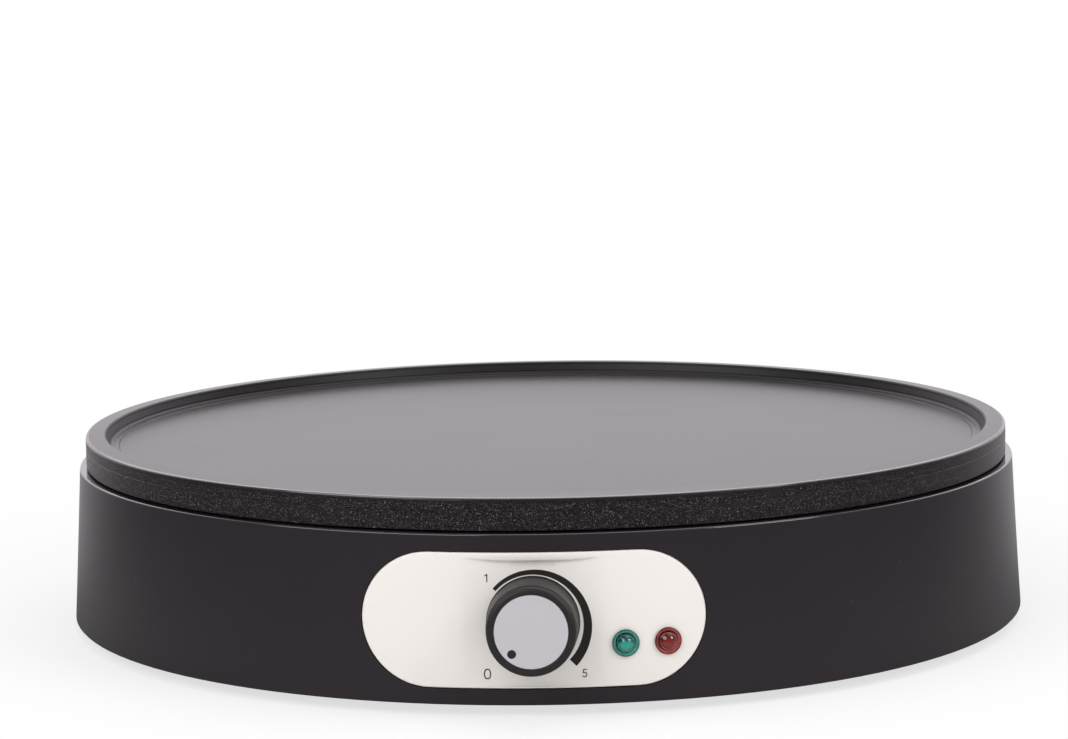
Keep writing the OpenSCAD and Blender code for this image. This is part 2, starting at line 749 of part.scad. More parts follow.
module at_dot() {
    rotate([0, dot_angle * -1, 0]) translate([dot_at, 0, 0]) children();
}

module knob_body() {
    front = knob_gap + knob_h;
    floor_s = front - 0.8;
    hub_r = 5;
    skirt_t = 1.7;
    color([0.2, 0.195, 0.195]) on_spindle() difference() {
        union() {
            rotate([90, 0, 0]) rotate_extrude($fn = 120) polygon(concat(
                [[0, floor_s - 2.2], [knob_front_r - skirt_t, floor_s - 2.2],
                 [knob_r - skirt_t, knob_gap], [knob_r - 0.3, knob_gap], [knob_r, knob_gap + 0.3]],
                arc(knob_front_edge, front - knob_edge_r, knob_edge_r, 0, 90, 6),
                [[cap_r + run_fit, front], [cap_r + run_fit, floor_s], [0, floor_s]]));
            rod(-(floor_s - 2), -(knob_gap + 1.8), hub_r);
            at_dot() rod(-(front - 0.2), -(floor_s - 0.5), dot_r - run_fit);
        }
        rod(-(spindle_out + 0.5), 0, spindle_r + run_fit);
        rotate([0, -dot_angle, 0]) translate([0, -(spindle_out + 0.5), -2.1])
            cube([spindle_flat + 0.45, spindle_out + 0.5, 4.2]);
    }
}

module knob_cap() {
    front = knob_gap + knob_h;
    color([0.78, 0.76, 0.79]) on_spindle() difference() {
        rotate([90, 0, 0]) rotate_extrude($fn = 120) polygon([[0, front - 0.8],
            [cap_r, front - 0.8], [cap_r, front - 0.3], [cap_r - 0.2, front - 0.1],
            [0, front - 0.1]]);
        at_dot() rod(-(front + 1), -(front - 2), dot_r);
    }
}

module knob_spring() {
    color([0.75, 0.75, 0.76]) on_spindle() rotate([0, -dot_angle, 0])
        translate([spindle_flat + 0.02, -spindle_out, -2]) cube([0.4, 9, 4]);
}

module spindle() {
    color([0.74, 0.74, 0.72]) on_spindle() difference() {
        rod(-spindle_out, spindle_end, spindle_r);
        rotate([0, -dot_angle, 0]) translate([spindle_flat, -spindle_out - 1, -4])
            cube([4, spindle_out - 1.5, 8]);
        rod(spindle_end - pin_pocket, spindle_end + 1, pin_r + run_fit);
    }
}

module adjusting_pin() {
    color([0.93, 0.91, 0.86]) on_spindle() rod(pin_top, pin_top + pin_len, pin_r);
}

// ------------------------------------------------------------- thermostat

module spindle_bush() {
    color([0.78, 0.62, 0.3]) on_spindle() difference() {
        union() {
            rod(5, frame_s + 4, bush_r);
            rod(frame_s - 1.5, frame_s, 6.5);
        }
        rod(4, frame_s + 6, spindle_r + run_fit);
    }
}

module bush_nut() {
    color([0.78, 0.62, 0.3]) on_spindle() difference() {
        translate([0, frame_s + frame_t + 2, 0]) rotate([90, 0, 0]) cylinder(h = 2, r = 7.5, $fn = 6);
        rod(frame_s, frame_s + 5, bush_r + screw_fit);
    }
}

module thermostat_frame() {
    color([0.7, 0.7, 0.7]) on_spindle() difference() {
        strip(ear_at[0] - 4.5, ear_at[1] + 4.5, frame_half, frame_s, frame_t);
        rod(frame_s - 1, frame_s + 3, bush_r + screw_fit);
        translate([stack_at, 0, 0]) rod(frame_s - 1, frame_s + 3, stack_bore + screw_fit);
        for (x = ear_at) translate([x, 0, 0]) rod(frame_s - 1, frame_s + 3, small_screw[0] + free_fit);
    }
}

module frame_screws() {
    color([0.72, 0.72, 0.73]) on_spindle() for (x = ear_at)
        translate([x, frame_s + frame_t, 0]) rotate([90, 0, 0]) screw_up(small_screw, 6);
}

module collar(a, b) {
    difference() {
        translate([stack_at, 0, 0]) rod(a, b, stack_r);
        translate([stack_at, 0, 0]) rod(a - 1, b + 1, stack_bore + screw_fit);
    }
}

module ceramic_stack() {
    color([0.93, 0.91, 0.86]) on_spindle() {
        collar(frame_s + frame_t, leaf_s);
        collar(leaf_s + leaf_t + tab_t, fixed_s);
        collar(fixed_s + fixed_t + tab_t, bimetal_s);
    }
}

module stack_rivet() {
    tail = bracket_s + bracket_t;
    color([0.72, 0.72, 0.73]) on_spindle() translate([stack_at, 0, 0]) {
        rod(frame_s - 1, tail + 1, stack_bore);
        rod(frame_s - 1, frame_s, 3.4);
        rod(tail, tail + 1, 3.4);
    }
}

// A spring leaf that leaves the stack and reaches past the spindle
module leaf(s, t, half, end) {
    on_spindle() difference() {
        union() {
            strip(stack_at, end, half, s, t);
            translate([stack_at, 0, 0]) rod(s, s + t, stack_r);
        }
        translate([stack_at, 0, 0]) rod(s - 1, s + t + 1, stack_bore + screw_fit);
    }
}

module moving_leaf() {
    color([0.8, 0.6, 0.35]) leaf(leaf_s, leaf_t, 3, contact_at + 2.5);
}

module fixed_leaf() {
    color([0.8, 0.6, 0.35]) leaf(fixed_s, fixed_t, 3, contact_at + 2.5);
}

module bimetal_strip() {
    color([0.72, 0.7, 0.66]) leaf(bimetal_s, bimetal_t, 4, contact_at + 4);
}

module contact_rivets() {
    color([0.85, 0.85, 0.84]) on_spindle() translate([contact_at, 0, 0]) {
        rod(leaf_s + leaf_t, leaf_s + leaf_t + 1.5, 1.5);
        rod(fixed_s - 1.6, fixed_s, 1.5);
    }
}

module thermostat_tabs() {
    color([0.8, 0.78, 0.7]) on_spindle() for (s = [leaf_s + leaf_t, fixed_s + fixed_t]) difference() {
        union() {
            strip(tab_end, stack_at, 3.15, s, tab_t);
            translate([stack_at, 0, 0]) rod(s, s + tab_t, stack_r);
        }
        translate([stack_at, 0, 0]) rod(s - 1, s + 2, stack_bore + screw_fit);
    }
}

// A push-on socket on a tab whose end is at the origin and that runs on along +X
module tab_socket(t) {
    mouth = -barrel_out;
    difference() {
        union() {
            translate([-1, -t / 2 - socket_grip, -socket_half])
                cube([socket_lap + 1, t + 2 * socket_grip, 2 * socket_half]);
            translate([mouth, 0, 0]) rotate([0, 90, 0])
                cylinder(h = barrel_out, r = wire_r + barrel_wall, $fn = 40);
        }
        translate([-0.05, -t / 2 - 0.05, -3.2]) cube([socket_lap + 1, t + 0.1, 6.4]);
        translate([mouth - 1, 0, 0]) rotate([0, 90, 0])
            cylinder(h = barrel_out - 1, r = wire_r + 0.05, $fn = 40);
    }
}

module tab_sockets() {
    color([0.8, 0.78, 0.7]) {
        on_spindle() for (s = [leaf_s + leaf_t, fixed_s + fixed_t])
            translate([tab_end, s + tab_t / 2, 0]) tab_socket(tab_t);
        at_tails() translate([0, 0, z_tab]) rotate([0, -90, 0]) tab_socket(tab_t);
    }
}

module bimetal_button() {
    color([0.93, 0.91, 0.86]) on_spindle() translate([button_at, 0, 0])
        rod(fixed_s + fixed_t + 0.3, bimetal_s, 1.2);
}

module sensor_bracket() {
    foot_z = z_sensor - bracket_t;
    strip_y = y_flat + bracket_s * cos(wall_tilt);
    color([0.78, 0.78, 0.79]) difference() {
        union() {
            intersection() {
                on_spindle() translate([stack_at - 5, bracket_s, -6]) cube([10, bracket_t, 60]);
                translate([stack_at - 6, strip_y - 6, 0]) cube([12, 16, z_sensor - bracket_t / 2]);
            }
            translate([stack_at - 5, strip_y + (foot_z - z_knob) * sin(wall_tilt) + 0.1, foot_z])
                cube([10, y_sensor + 5 - strip_y - (foot_z - z_knob) * sin(wall_tilt), bracket_t]);
        }
        on_spindle() translate([stack_at, 0, 0]) rod(bracket_s - 1, bracket_s + 3, stack_bore + screw_fit);
        translate([stack_at, y_sensor, foot_z - 1])
            cylinder(h = 4, r = plate_screw[0] + free_fit, $fn = 32);
    }
}

module sensor_screw() {
    color([0.75, 0.75, 0.76]) translate([stack_at, y_sensor, z_sensor - bracket_t])
        screw_up(plate_screw, 9);
}

// ------------------------------------------------------------ pilot lamps

module lens(i) {
    dome_r = 2.9;
    edge = 0.4;
    flange_h = 1;
    on_lamp(i) rotate([90, 0, 0]) rotate_extrude($fn = 64) polygon(concat(
        [[0, -2.2], [2.3, -2.2], [2.3, -barrel_len], [barrel_r, -barrel_len], [barrel_r, lens_seat],
         [lens_r, lens_seat]],
        arc(lens_r - edge, lens_seat + flange_h - edge, edge, 0, 90, 4),
        arc(0, lens_seat + flange_h - 0.6, dome_r, 16, 90, 8)));
}

module green_lens() {
    color([0.1, 0.55, 0.45, 0.8]) lens(0);
}

module red_lens() {
    color([0.75, 0.15, 0.12, 0.8]) lens(1);
}

module lens_retainers() {
    seat = pad_depth + 0.15;
    color([0.72, 0.72, 0.73]) for (i = [0, 1]) on_lamp(i) difference() {
        rod(seat, seat + 0.5, 5.4);
        rod(seat - 1, seat + 2, barrel_r + 0.03);
    }
}

module neon_lamps() {
    color([0.85, 0.85, 0.85, 0.6]) for (i = [0, 1]) on_lamp(i) rotate([90, 0, 0])
        rotate_extrude($fn = 40) polygon(concat([[0, -15], [1.9, -15]], arc(0, -4.6, 1.9, 0, 90, 5)));
}

module lamp_sleeves() {
    color([0.85, 0.85, 0.8]) for (i = [0, 1]) on_lamp(i) difference() {
        rod(barrel_len, 17, 2.9);
        rod(barrel_len - 1, 15, 1.95);
        rod(14, 18, lamp_wire_r + run_fit);
    }
}

// A point on a lamp's axis, at a depth behind the panel's face
function lamp_point(i, depth) = let (
    a = lamp_at[i] / wall_r(lens_z) * 180 / PI,
    r = wall_r(lens_z) - depth * cos(wall_tilt))
    [r * sin(a), -r * cos(a), lens_z - depth * sin(wall_tilt)];

// The sleeved leads of the lamps, and the lead that joins them to the block
module lamp_wires() {
    mouth = [cap_at[0] - 5, cap_at[1], z_cap];
    spread = 1.15;
    seats = [for (a = [90, 210, 330]) mouth + spread * [0, cos(a), sin(a)]];
    way = way_point(1) + [lamp_wire_r + 0.05 - way_r, 0, 0];
    in = [3, 0, 0];
    color([0.85, 0.85, 0.8]) {
        for (i = [0, 1]) wire(concat([for (d = [15, 19, 25]) lamp_point(i, d)], lamp_routes[i],
            [seats[i] - in, seats[i], seats[i] + in]), lamp_wire_r);
        wire(concat([seats[2] + in, seats[2], seats[2] - in], supply_route,
            [way - [0, 14, 0], way - [0, 7, 0], way]), lamp_wire_r);
    }
}

module crimp_cap() {
    color([0.85, 0.8, 0.7]) translate([cap_at[0] - 5, cap_at[1], z_cap]) rotate([0, 90, 0])
        rotate_extrude($fn = 40) polygon([[2.1, 0], [3, 0], [3, 10], [2, 14], [0, 14], [0, 3], [2.1, 3]]);
}

// ------------------------------------------------------- inner electrics

module terminal_block() {
    color([0.9, 0.88, 0.8]) translate([block_at[0], block_at[1], z_block]) difference() {
        union() {
            translate([-block_size[0] / 2, -block_size[1] / 2, 0])
                cube([block_size[0], block_size[1], block_size[2] - 3]);
            for (i = [-1:1]) translate([i * way_pitch, 0, 0])
                cylinder(h = block_size[2], r = 4, $fn = 48);
        }
        for (i = [-1:1]) translate([i * way_pitch, 0, 0]) {
            translate([0, block_size[1] / 2 + 1, way_z - z_block]) rotate([90, 0, 0])
                cylinder(h = block_size[1] + 2, r = way_r, $fn = 40);
            translate([0, barrel_half, way_z - z_block]) rotate([90, 0, 0])
                cylinder(h = block_size[1], r = way_r + barrel_wall + screw_fit, $fn = 40);
            translate([0, 0, way_z - z_block]) cylinder(h = 12, r = 1.75, $fn = 32);
        }
        for (sx = [-1, 1]) translate([sx * way_pitch / 2, 0, 0]) {
            translate([0, 0, -1]) cylinder(h = 20, r = small_screw[0] + free_fit, $fn = 32);
            translate([0, 0, 7]) cylinder(h = 20, r = small_screw[1] + 0.2, $fn = 32);
        }
    }
}

module terminal_barrels() {
    color([0.8, 0.68, 0.4]) for (i = [-1:1])
        translate([block_at[0] + i * way_pitch, block_at[1] + barrel_half, way_z])
            rotate([90, 0, 0]) difference() {
                cylinder(h = 2 * barrel_half, r = way_r + barrel_wall, $fn = 40);
                translate([0, 0, -1]) cylinder(h = 2 * barrel_half + 2, r = way_r, $fn = 40);
                translate([0, 0, barrel_half]) rotate([-90, 0, 0]) cylinder(h = 5, r = 1.75, $fn = 32);
            }
}

module terminal_screws() {
    color([0.8, 0.68, 0.4]) for (i = [-1:1])
        translate([block_at[0] + i * way_pitch, block_at[1], way_z + wire_r + 0.1]) difference() {
            cylinder(h = 7.5, r = 1.7, $fn = 32);
            translate([-2, -0.3, 6.5]) cube([4, 0.6, 2]);
        }
}

module block_screws() {
    color([0.72, 0.72, 0.73]) for (sx = [-1, 1])
        translate([block_at[0] + sx * way_pitch / 2, block_at[1], z_block + 7])
            rotate([180, 0, 0]) screw_up(small_screw, 10);
}

module thermal_fuse() {
    color([0.8, 0.75, 0.6]) translate([fuse_at[0], fuse_at[1], z_fuse]) rotate([90, 0, 0]) {
        translate([0, 0, -6]) cylinder(h = 12, r = 1.95, $fn = 40);
        translate([0, 0, -fuse_len / 2 + 2]) cylinder(h = fuse_len - 4, r = 0.5, $fn = 24);
    }
}

module fuse_sleeve() {
    color([0.88, 0.86, 0.8]) translate([fuse_at[0], fuse_at[1] + fuse_len / 2, z_fuse]) rotate([90, 0, 0])
        difference() {
            cylinder(h = fuse_len, r = fuse_sleeve_r, $fn = 48);
            translate([0, 0, -1]) cylinder(h = fuse_len + 2, r = 2, $fn = 48);
        }
}

module fuse_clip() {
    clip_w = 10;
    color([0.72, 0.72, 0.73]) translate([fuse_at[0], fuse_at[1] + clip_w / 2, 0]) difference() {
        union() {
            translate([0, 0, z_fuse]) rotate([90, 0, 0])
                cylinder(h = clip_w, r = fuse_sleeve_r + 1, $fn = 48);
            translate([0, -clip_w, z_reflector - 1]) cube([12, clip_w, 1]);
        }
        translate([0, 1, z_fuse]) rotate([90, 0, 0])
            cylinder(h = clip_w + 2, r = fuse_sleeve_r + 0.05, $fn = 48);
        translate([8, -clip_w / 2, z_reflector - 2]) cylinder(h = 4, r = small_screw[0] + free_fit, $fn = 32);
    }
}

module clip_screw() {
    color([0.72, 0.72, 0.73]) translate([fuse_at[0] + 8, fuse_at[1], z_reflector - 1])
        screw_up(small_screw, 3.4);
}

module earth_tag() {
    color([0.8, 0.78, 0.7]) difference() {
        union() {
            translate([earth_at[0], earth_at[1], z_reflector - 0.8]) cylinder(h = 0.8, r = 4.2, $fn = 48);
            translate([earth_at[0] - 2, earth_at[1], z_reflector - 0.8]) cube([4, 8.8, 0.8]);
            translate([earth_at[0] - 2, earth_at[1] + 8, z_reflector - 5]) cube([4, 0.8, 5]);
        }
        translate([earth_at[0], earth_at[1], z_reflector - 2])
            cylinder(h = 4, r = plate_screw[0] + free_fit, $fn = 32);
    }
}

module earth_screw() {
    color([0.8, 0.68, 0.4]) translate([earth_at[0], earth_at[1], z_reflector - 0.8])
        screw_up(plate_screw, 4.2);
}

module earth_nut() {
    color([0.8, 0.68, 0.4]) translate([earth_at[0], earth_at[1], z_boss]) difference() {
        cylinder(h = 2.4, r = 4, $fn = 6);
        translate([0, 0, -1]) cylinder(h = 5, r = plate_screw[0] + screw_fit, $fn = 32);
    }
}

// ------------------------------------------------------------- cord entry

module cord_bush() {
    inner_y = cord_flat - cord_boss_t;
    color([0.1, 0.1, 0.1]) translate([0, 0, cord_z]) difference() {
        union() {
            square_rod(inner_y - cord_lip_t, inner_y, cord_lip, neck_corner);
            square_rod(inner_y - cord_lip_t, cord_flat + 1, cord_neck, neck_corner);
            square_rod(cord_flat, cord_flat + 1.4, cord_flange, flange_corner);
            rotate([-90, 0, 0]) rotate_extrude($fn = 64)
                polygon([[0, cord_flat + 0.5], [7.2, cord_flat + 0.5], [7.2, cord_flat + 1.8],
                         [6.6, cord_flat + 2.4], [0, cord_flat + 2.4]]);
        }
        translate([0, shell_r_bot + 2, 0]) rotate([90, 0, 0]) cylinder(h = 20, r = cord_r, $fn = 64);
    }
}

// ------------------------------------------------------------------ wires

// A place just past the screw in a way of the block
function way_point(i) = [block_at[0] + i * way_pitch, block_at[1] + 2, way_z];

// The mouth of the socket on a thermostat tab, and on the element's end
function tab_mouth(s) = [tab_end - barrel_out, y_flat + (s + tab_t / 2) * cos(wall_tilt),
                         z_knob - (s + tab_t / 2) * sin(wall_tilt)];
function tail_mouth(side) = [side * tail_x, tail_y, z_tab - barrel_out];

// Points that run straight into a place, from a distance in front of it to a depth in it
function lead_in(p, dir, out, depth) = [p - out * dir, p - 3 * dir, p, p + depth * dir];
function lead_out(p, dir, out, depth) =
    [p + depth * dir, p, p - 3 * dir, p - out * dir];
function way_out(p) = [p, p - [0, 7, 0], p - [0, 13, 0]];

module live_wire() {
    color([0.45, 0.25, 0.15]) wire(concat(way_out(way_point(-1)), live_route,
        lead_in(tab_mouth(leaf_s + leaf_t), [1, 0, 0], 9, 2.5)), wire_r);
}

module neutral_wire() {
    color([0.2, 0.35, 0.65]) wire(concat(way_out(way_point(1) + [way_r - wire_r - 0.05, 0, 0]),
        neutral_route, lead_in(tail_mouth(-1), [0, 0, 1], 5, 2.5)), wire_r);
}

module earth_wire() {
    tag = [earth_at[0], earth_at[1] + 8.4, z_reflector - 5.05];
    color([0.55, 0.65, 0.2]) wire(concat(way_out(way_point(0)), earth_route,
        lead_in(tag - [0, 0, 1], [0, 0, 1], 7, 1)), wire_r);
}

module switched_wire() {
    fuse_front = [fuse_at[0], fuse_at[1] - fuse_len / 2, z_fuse];
    color([0.85, 0.84, 0.8]) wire(concat(
        lead_out(tab_mouth(fixed_s + fixed_t), [1, 0, 0], 9, 2.5),
        switched_route, lead_in(fuse_front, [0, 1, 0], 8, 2)), wire_r);
}

module fuse_wire() {
    fuse_back = [fuse_at[0], fuse_at[1] + fuse_len / 2, z_fuse];
    color([0.85, 0.84, 0.8]) wire(concat(lead_out(tail_mouth(1), [0, 0, 1], 5, 2.5),
        fuse_route, lead_in(fuse_back, [0, -1, 0], 8, 2)), wire_r);
}

// ------------------------------------------------------------------ nodes

in_frame() griddle_plate();
in_frame() heating_element();
in_frame() element_bushes();
in_frame() element_terminals();
in_frame() element_straps();
in_frame() strap_screws();
in_frame() heat_reflector();
in_frame() boss_spacers();
in_frame() plate_screws();
in_frame() plate_washers();
in_frame() housing_shell();
in_frame() bottom_cover();
in_frame() cover_screws();
in_frame() rubber_feet();
in_frame() control_panel();
in_frame() panel_screws();
in_frame() knob_body();
in_frame() knob_cap();
in_frame() knob_spring();
in_frame() spindle();
in_frame() adjusting_pin();
in_frame() spindle_bush();
in_frame() bush_nut();
in_frame() thermostat_frame();
in_frame() frame_screws();
in_frame() ceramic_stack();
in_frame() stack_rivet();
in_frame() moving_leaf();
in_frame() fixed_leaf();
in_frame() contact_rivets();
in_frame() thermostat_tabs();
in_frame() tab_sockets();
in_frame() bimetal_strip();
in_frame() bimetal_button();
in_frame() sensor_bracket();
in_frame() sensor_screw();
in_frame() green_lens();
in_frame() red_lens();
in_frame() lens_retainers();
in_frame() neon_lamps();
in_frame() lamp_sleeves();
in_frame() lamp_wires();
in_frame() crimp_cap();
in_frame() terminal_block();
in_frame() terminal_barrels();
in_frame() terminal_screws();
in_frame() block_screws();
in_frame() thermal_fuse();
in_frame() fuse_sleeve();
in_frame() fuse_clip();
in_frame() clip_screw();
in_frame() earth_tag();
in_frame() earth_screw();
in_frame() earth_nut();
in_frame() cord_bush();
in_frame() live_wire();
in_frame() neutral_wire();
in_frame() earth_wire();
in_frame() switched_wire();
in_frame() fuse_wire();
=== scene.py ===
import math
import bmesh
import bpy
from mathutils import Matrix, Vector
from mathutils.geometry import delaunay_2d_cdt


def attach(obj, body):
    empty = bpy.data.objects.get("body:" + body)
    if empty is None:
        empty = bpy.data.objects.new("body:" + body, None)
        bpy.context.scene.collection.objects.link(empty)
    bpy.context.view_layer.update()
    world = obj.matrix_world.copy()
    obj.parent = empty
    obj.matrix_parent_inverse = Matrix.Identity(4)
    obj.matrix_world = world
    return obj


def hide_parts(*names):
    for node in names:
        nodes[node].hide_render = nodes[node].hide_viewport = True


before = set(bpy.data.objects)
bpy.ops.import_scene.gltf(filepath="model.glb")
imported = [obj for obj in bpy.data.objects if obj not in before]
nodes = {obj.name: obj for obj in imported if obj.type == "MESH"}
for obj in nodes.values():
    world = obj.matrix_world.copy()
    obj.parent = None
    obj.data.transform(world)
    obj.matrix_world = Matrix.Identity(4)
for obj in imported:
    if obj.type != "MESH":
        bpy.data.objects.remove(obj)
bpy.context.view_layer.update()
mm = 0.001
axisY = 8.36367 * mm        # the plate's axis, from the frame's origin
print("frame loaded:", len(nodes), "nodes")

# where things are, in mm from the plate's axis
wall = {"foot": 3.0, "footRadius": 157.6, "slope": 0.0577689, "tilt": math.radians(3.3063)}
dial = {"y": -154.84633, "z": 27.125}
lamps = {"green_lens": 27.0, "red_lens": 39.6, "z": 20.725}


def wallRadius(z):
    return wall["footRadius"] - (z - wall["foot"]) * wall["slope"]


def tiltedFrame(y, z, turn=0.0):
    # x across, y up the wall, z straight out of it
    t = wall["tilt"]
    axes = Matrix(((1, 0, 0), (0, math.sin(t), -math.cos(t)), (0, math.cos(t), math.sin(t)))).to_4x4()
    onWall = Matrix.Translation(Vector((0, y, z)) * mm) @ axes
    return Matrix.Translation((0, axisY, 0)) @ Matrix.Rotation(turn, 4, "Z") @ onWall


dialFrame = tiltedFrame(dial["y"], dial["z"])


def lampFrame(name):
    radius = wallRadius(lamps["z"])
    return tiltedFrame(-radius, lamps["z"], lamps[name] / radius)


def newObject(name, data):
    made = bpy.data.objects.new(name, data)
    bpy.context.scene.collection.objects.link(made)
    return made


camera = {
    "at": (0.03288, -1.12422, 0.23333),
    "towards": (-0.031774, 0.990524, -0.133612),
    "roll": -0.952,
    "lens": 115.455,
    "sensor": 36.0,
    "clip": (0.05, 50),
}


def makeCamera(s):
    data = bpy.data.cameras.new("camera")
    data.lens, data.sensor_width = s["lens"], s["sensor"]
    data.clip_start, data.clip_end = s["clip"]
    made = newObject("camera", data)
    forward = Vector(s["towards"]).normalized()
    right = forward.cross(Vector((0, 0, 1))).normalized()
    up = right.cross(forward)
    turn = math.radians(s["roll"])
    across = math.cos(turn) * right + math.sin(turn) * up
    above = math.cos(turn) * up - math.sin(turn) * right
    axes = Matrix((across, above, -forward)).transposed().to_4x4()
    made.matrix_world = Matrix.Translation(s["at"]) @ axes
    bpy.context.scene.camera = made


# node helpers
def link(tree, value, socket):
    if isinstance(value, bpy.types.NodeSocket):
        tree.links.new(value, socket)
    else:
        socket.default_value = value


def fill(tree, inputs, sockets):
    for key, value in sockets.items():
        link(tree, value, inputs[key.replace("_", " ")])


def node(tree, kind, settings=None, **sockets):
    made = tree.nodes.new("ShaderNode" + kind)
    for key, value in (settings or {}).items():
        setattr(made, key, value)
    fill(tree, made.inputs, sockets)
    return made


def reckon(tree, operation, *values, clamp=False):
    made = tree.nodes.new("ShaderNodeMath")
    made.operation, made.use_clamp = operation, clamp
    for i, value in enumerate(values):
        link(tree, value, made.inputs[i])
    return made.outputs[0]


def plus(tree, a, b):
    return reckon(tree, "ADD", a, b)


def minus(tree, a, b, clamp=False):
    return reckon(tree, "SUBTRACT", a, b, clamp=clamp)


def times(tree, a, b):
    return reckon(tree, "MULTIPLY", a, b)


def distanceOut(tree, x, y):
    return reckon(tree, "SQRT", plus(tree, times(tree, x, x), times(tree, y, y)))


def ofVectors(tree, operation, a, b):
    made = node(tree, "VectorMath", {"operation": operation})
    link(tree, a, made.inputs[0])
    link(tree, b, made.inputs[1])
    return made.outputs


def spread(tree, value, low, high, lowTo=0.0, highTo=1.0):
    made = node(tree, "MapRange", {"interpolation_type": "SMOOTHSTEP"})
    for i, v in enumerate((value, low, high, lowTo, highTo)):
        link(tree, v, made.inputs[i])
    return made.outputs[0]


def blendColour(tree, factor, first, second):
    made = node(tree, "Mix", {"data_type": "RGBA"})
    for i, v in ((0, factor), (6, first), (7, second)):
        link(tree, v, made.inputs[i])
    return made.outputs[2]


def blendShader(tree, factor, first, second):
    made = node(tree, "MixShader", Fac=factor)
    link(tree, first, made.inputs[1])
    link(tree, second, made.inputs[2])
    return made.outputs[0]


def coordinate(tree, which="Object"):
    return tree.nodes.new("ShaderNodeTexCoord").outputs[which]


def shapeNormal(tree):
    return tree.nodes.new("ShaderNodeNewGeometry").outputs["Normal"]


def partsOf(tree, vector):
    return node(tree, "SeparateXYZ", Vector=vector).outputs


def noise(tree, at, scale, detail=2.0, roughness=0.5):
    return node(tree, "TexNoise", Vector=at, Scale=scale, Detail=detail, Roughness=roughness).outputs[0]


def colour(r, g, b):
    def straight(v):
        v = v / 255
        return v / 12.92 if v <= 0.04045 else ((v + 0.055) / 1.055) ** 2.4
    return (straight(r), straight(g), straight(b), 1)


# floor and light
studio = {
    "skyLight": 0.76,
    "paperTint": (1.0, 0.957, 1.0, 1),      # what a gloss finds of the paper is a little rosy
    "roomGlow": 0.045,          # what a gloss finds on the camera's side, the walls there being dark
    "paperFrom": 0.10,          # how far round the back the white paper shows, as cosines
    "paperTo": 1.05,
    "paperGlow": 0.87,
    "paperCrest": 2.5,          # the paper's upper part hangs in the light of the top box
    "crestFrom": (0.24, 0.44),
    "ceilingGlow": 0.07,
    "ceilingFrom": (0.62, 0.95),
    "floorSize": 6.0,
    "floorDrop": 0.0002,        # just below the feet
    "floorColour": (0.80, 0.80, 0.80, 1),
    "floorShadow": 0.30,
    "shadowFades": (0.24, 0.60),
    "lampsAim": (0, 0, 0.03),
    "lamps": [
        # name, place, size, watts
        ("leftBox", (-1.07, -1.19, 1.20), (1.7, 1.1), 13.6),
        ("rightBox", (1.33, -0.89, 1.10), (0.8, 0.8), 8.0),
        ("topBox", (0.25, 0.35, 1.80), (1.8, 1.2), 10),
    ],
}
white = (1, 1, 1, 1)


def paperGlow(tree, s, x, y):
    # how far out a place lies, and its glow: white behind the object, dark beside and before it
    reach = distanceOut(tree, x, y)
    behind = reckon(tree, "DIVIDE", y, reckon(tree, "MAXIMUM", reach, 0.001))
    return reach, spread(tree, behind, s["paperFrom"], s["paperTo"], s["roomGlow"], s["paperGlow"])


def rayKinds(tree):
    # rays straight to the camera or through a lens, and those with the mirrored ones
    path = tree.nodes.new("ShaderNodeLightPath")
    straight = reckon(tree, "MAXIMUM", path.outputs["Is Camera Ray"], path.outputs["Is Transmission Ray"])
    return straight, reckon(tree, "MAXIMUM", straight, path.outputs["Is Glossy Ray"])


def shownPaper(tree, s, kind, glow, straight):
    tint = blendColour(tree, straight, s["paperTint"], white)
    return node(tree, kind, Color=tint, Strength=reckon(tree, "MAXIMUM", glow, straight)).outputs[0]


def makeWorld(s):
    world = bpy.data.worlds.new("studio")
    bpy.context.scene.world = world
    world.use_nodes = True
    tree = world.node_tree
    tree.nodes.clear()
    way = partsOf(tree, coordinate(tree, "Generated"))
    glow = paperGlow(tree, s, way["X"], way["Y"])[1]
    glow = times(tree, glow, spread(tree, way["Z"], *s["crestFrom"], 1.0, s["paperCrest"]))
    high = spread(tree, way["Z"], *s["ceilingFrom"])
    glow = node(tree, "Mix", {"data_type": "FLOAT"}, Factor=high, A=glow, B=s["ceilingGlow"]).outputs[0]
    straight, seen = rayKinds(tree)
    lit = node(tree, "Background", Color=white, Strength=s["skyLight"]).outputs[0]
    shown = shownPaper(tree, s, "Background", glow, straight)
    node(tree, "OutputWorld", Surface=blendShader(tree, seen, lit, shown))


def floorPaper(s):
    material = bpy.data.materials.new("floorPaper")
    material.use_nodes = True
    tree = material.node_tree
    tree.nodes.clear()
    spot = partsOf(tree, coordinate(tree))
    reach, glow = paperGlow(tree, s, spot["X"], spot["Y"])
    straight, seen = rayKinds(tree)
    keep = spread(tree, reach, *s["shadowFades"], 1 - s["floorShadow"], 1.0)
    paper = node(tree, "BsdfDiffuse", Color=s["floorColour"]).outputs[0]
    shown = shownPaper(tree, s, "Emission", glow, straight)
    both = blendShader(tree, times(tree, seen, keep), paper, shown)
    # clear from below, so that the underside can be looked at
    backfacing = tree.nodes.new("ShaderNodeNewGeometry").outputs["Backfacing"]
    oneSided = blendShader(tree, backfacing, both, node(tree, "BsdfTransparent").outputs[0])
    node(tree, "OutputMaterial", Surface=oneSided)
    return material


def makeFloor(s):
    mesh = bpy.data.meshes.new("floor")
    shape = bmesh.new()
    bmesh.ops.create_grid(shape, x_segments=1, y_segments=1, size=s["floorSize"] / 2)
    shape.to_mesh(mesh)
    shape.free()
    floor = newObject("floor", mesh)
    floor.location.z = -s["floorDrop"]
    mesh.materials.append(floorPaper(s))


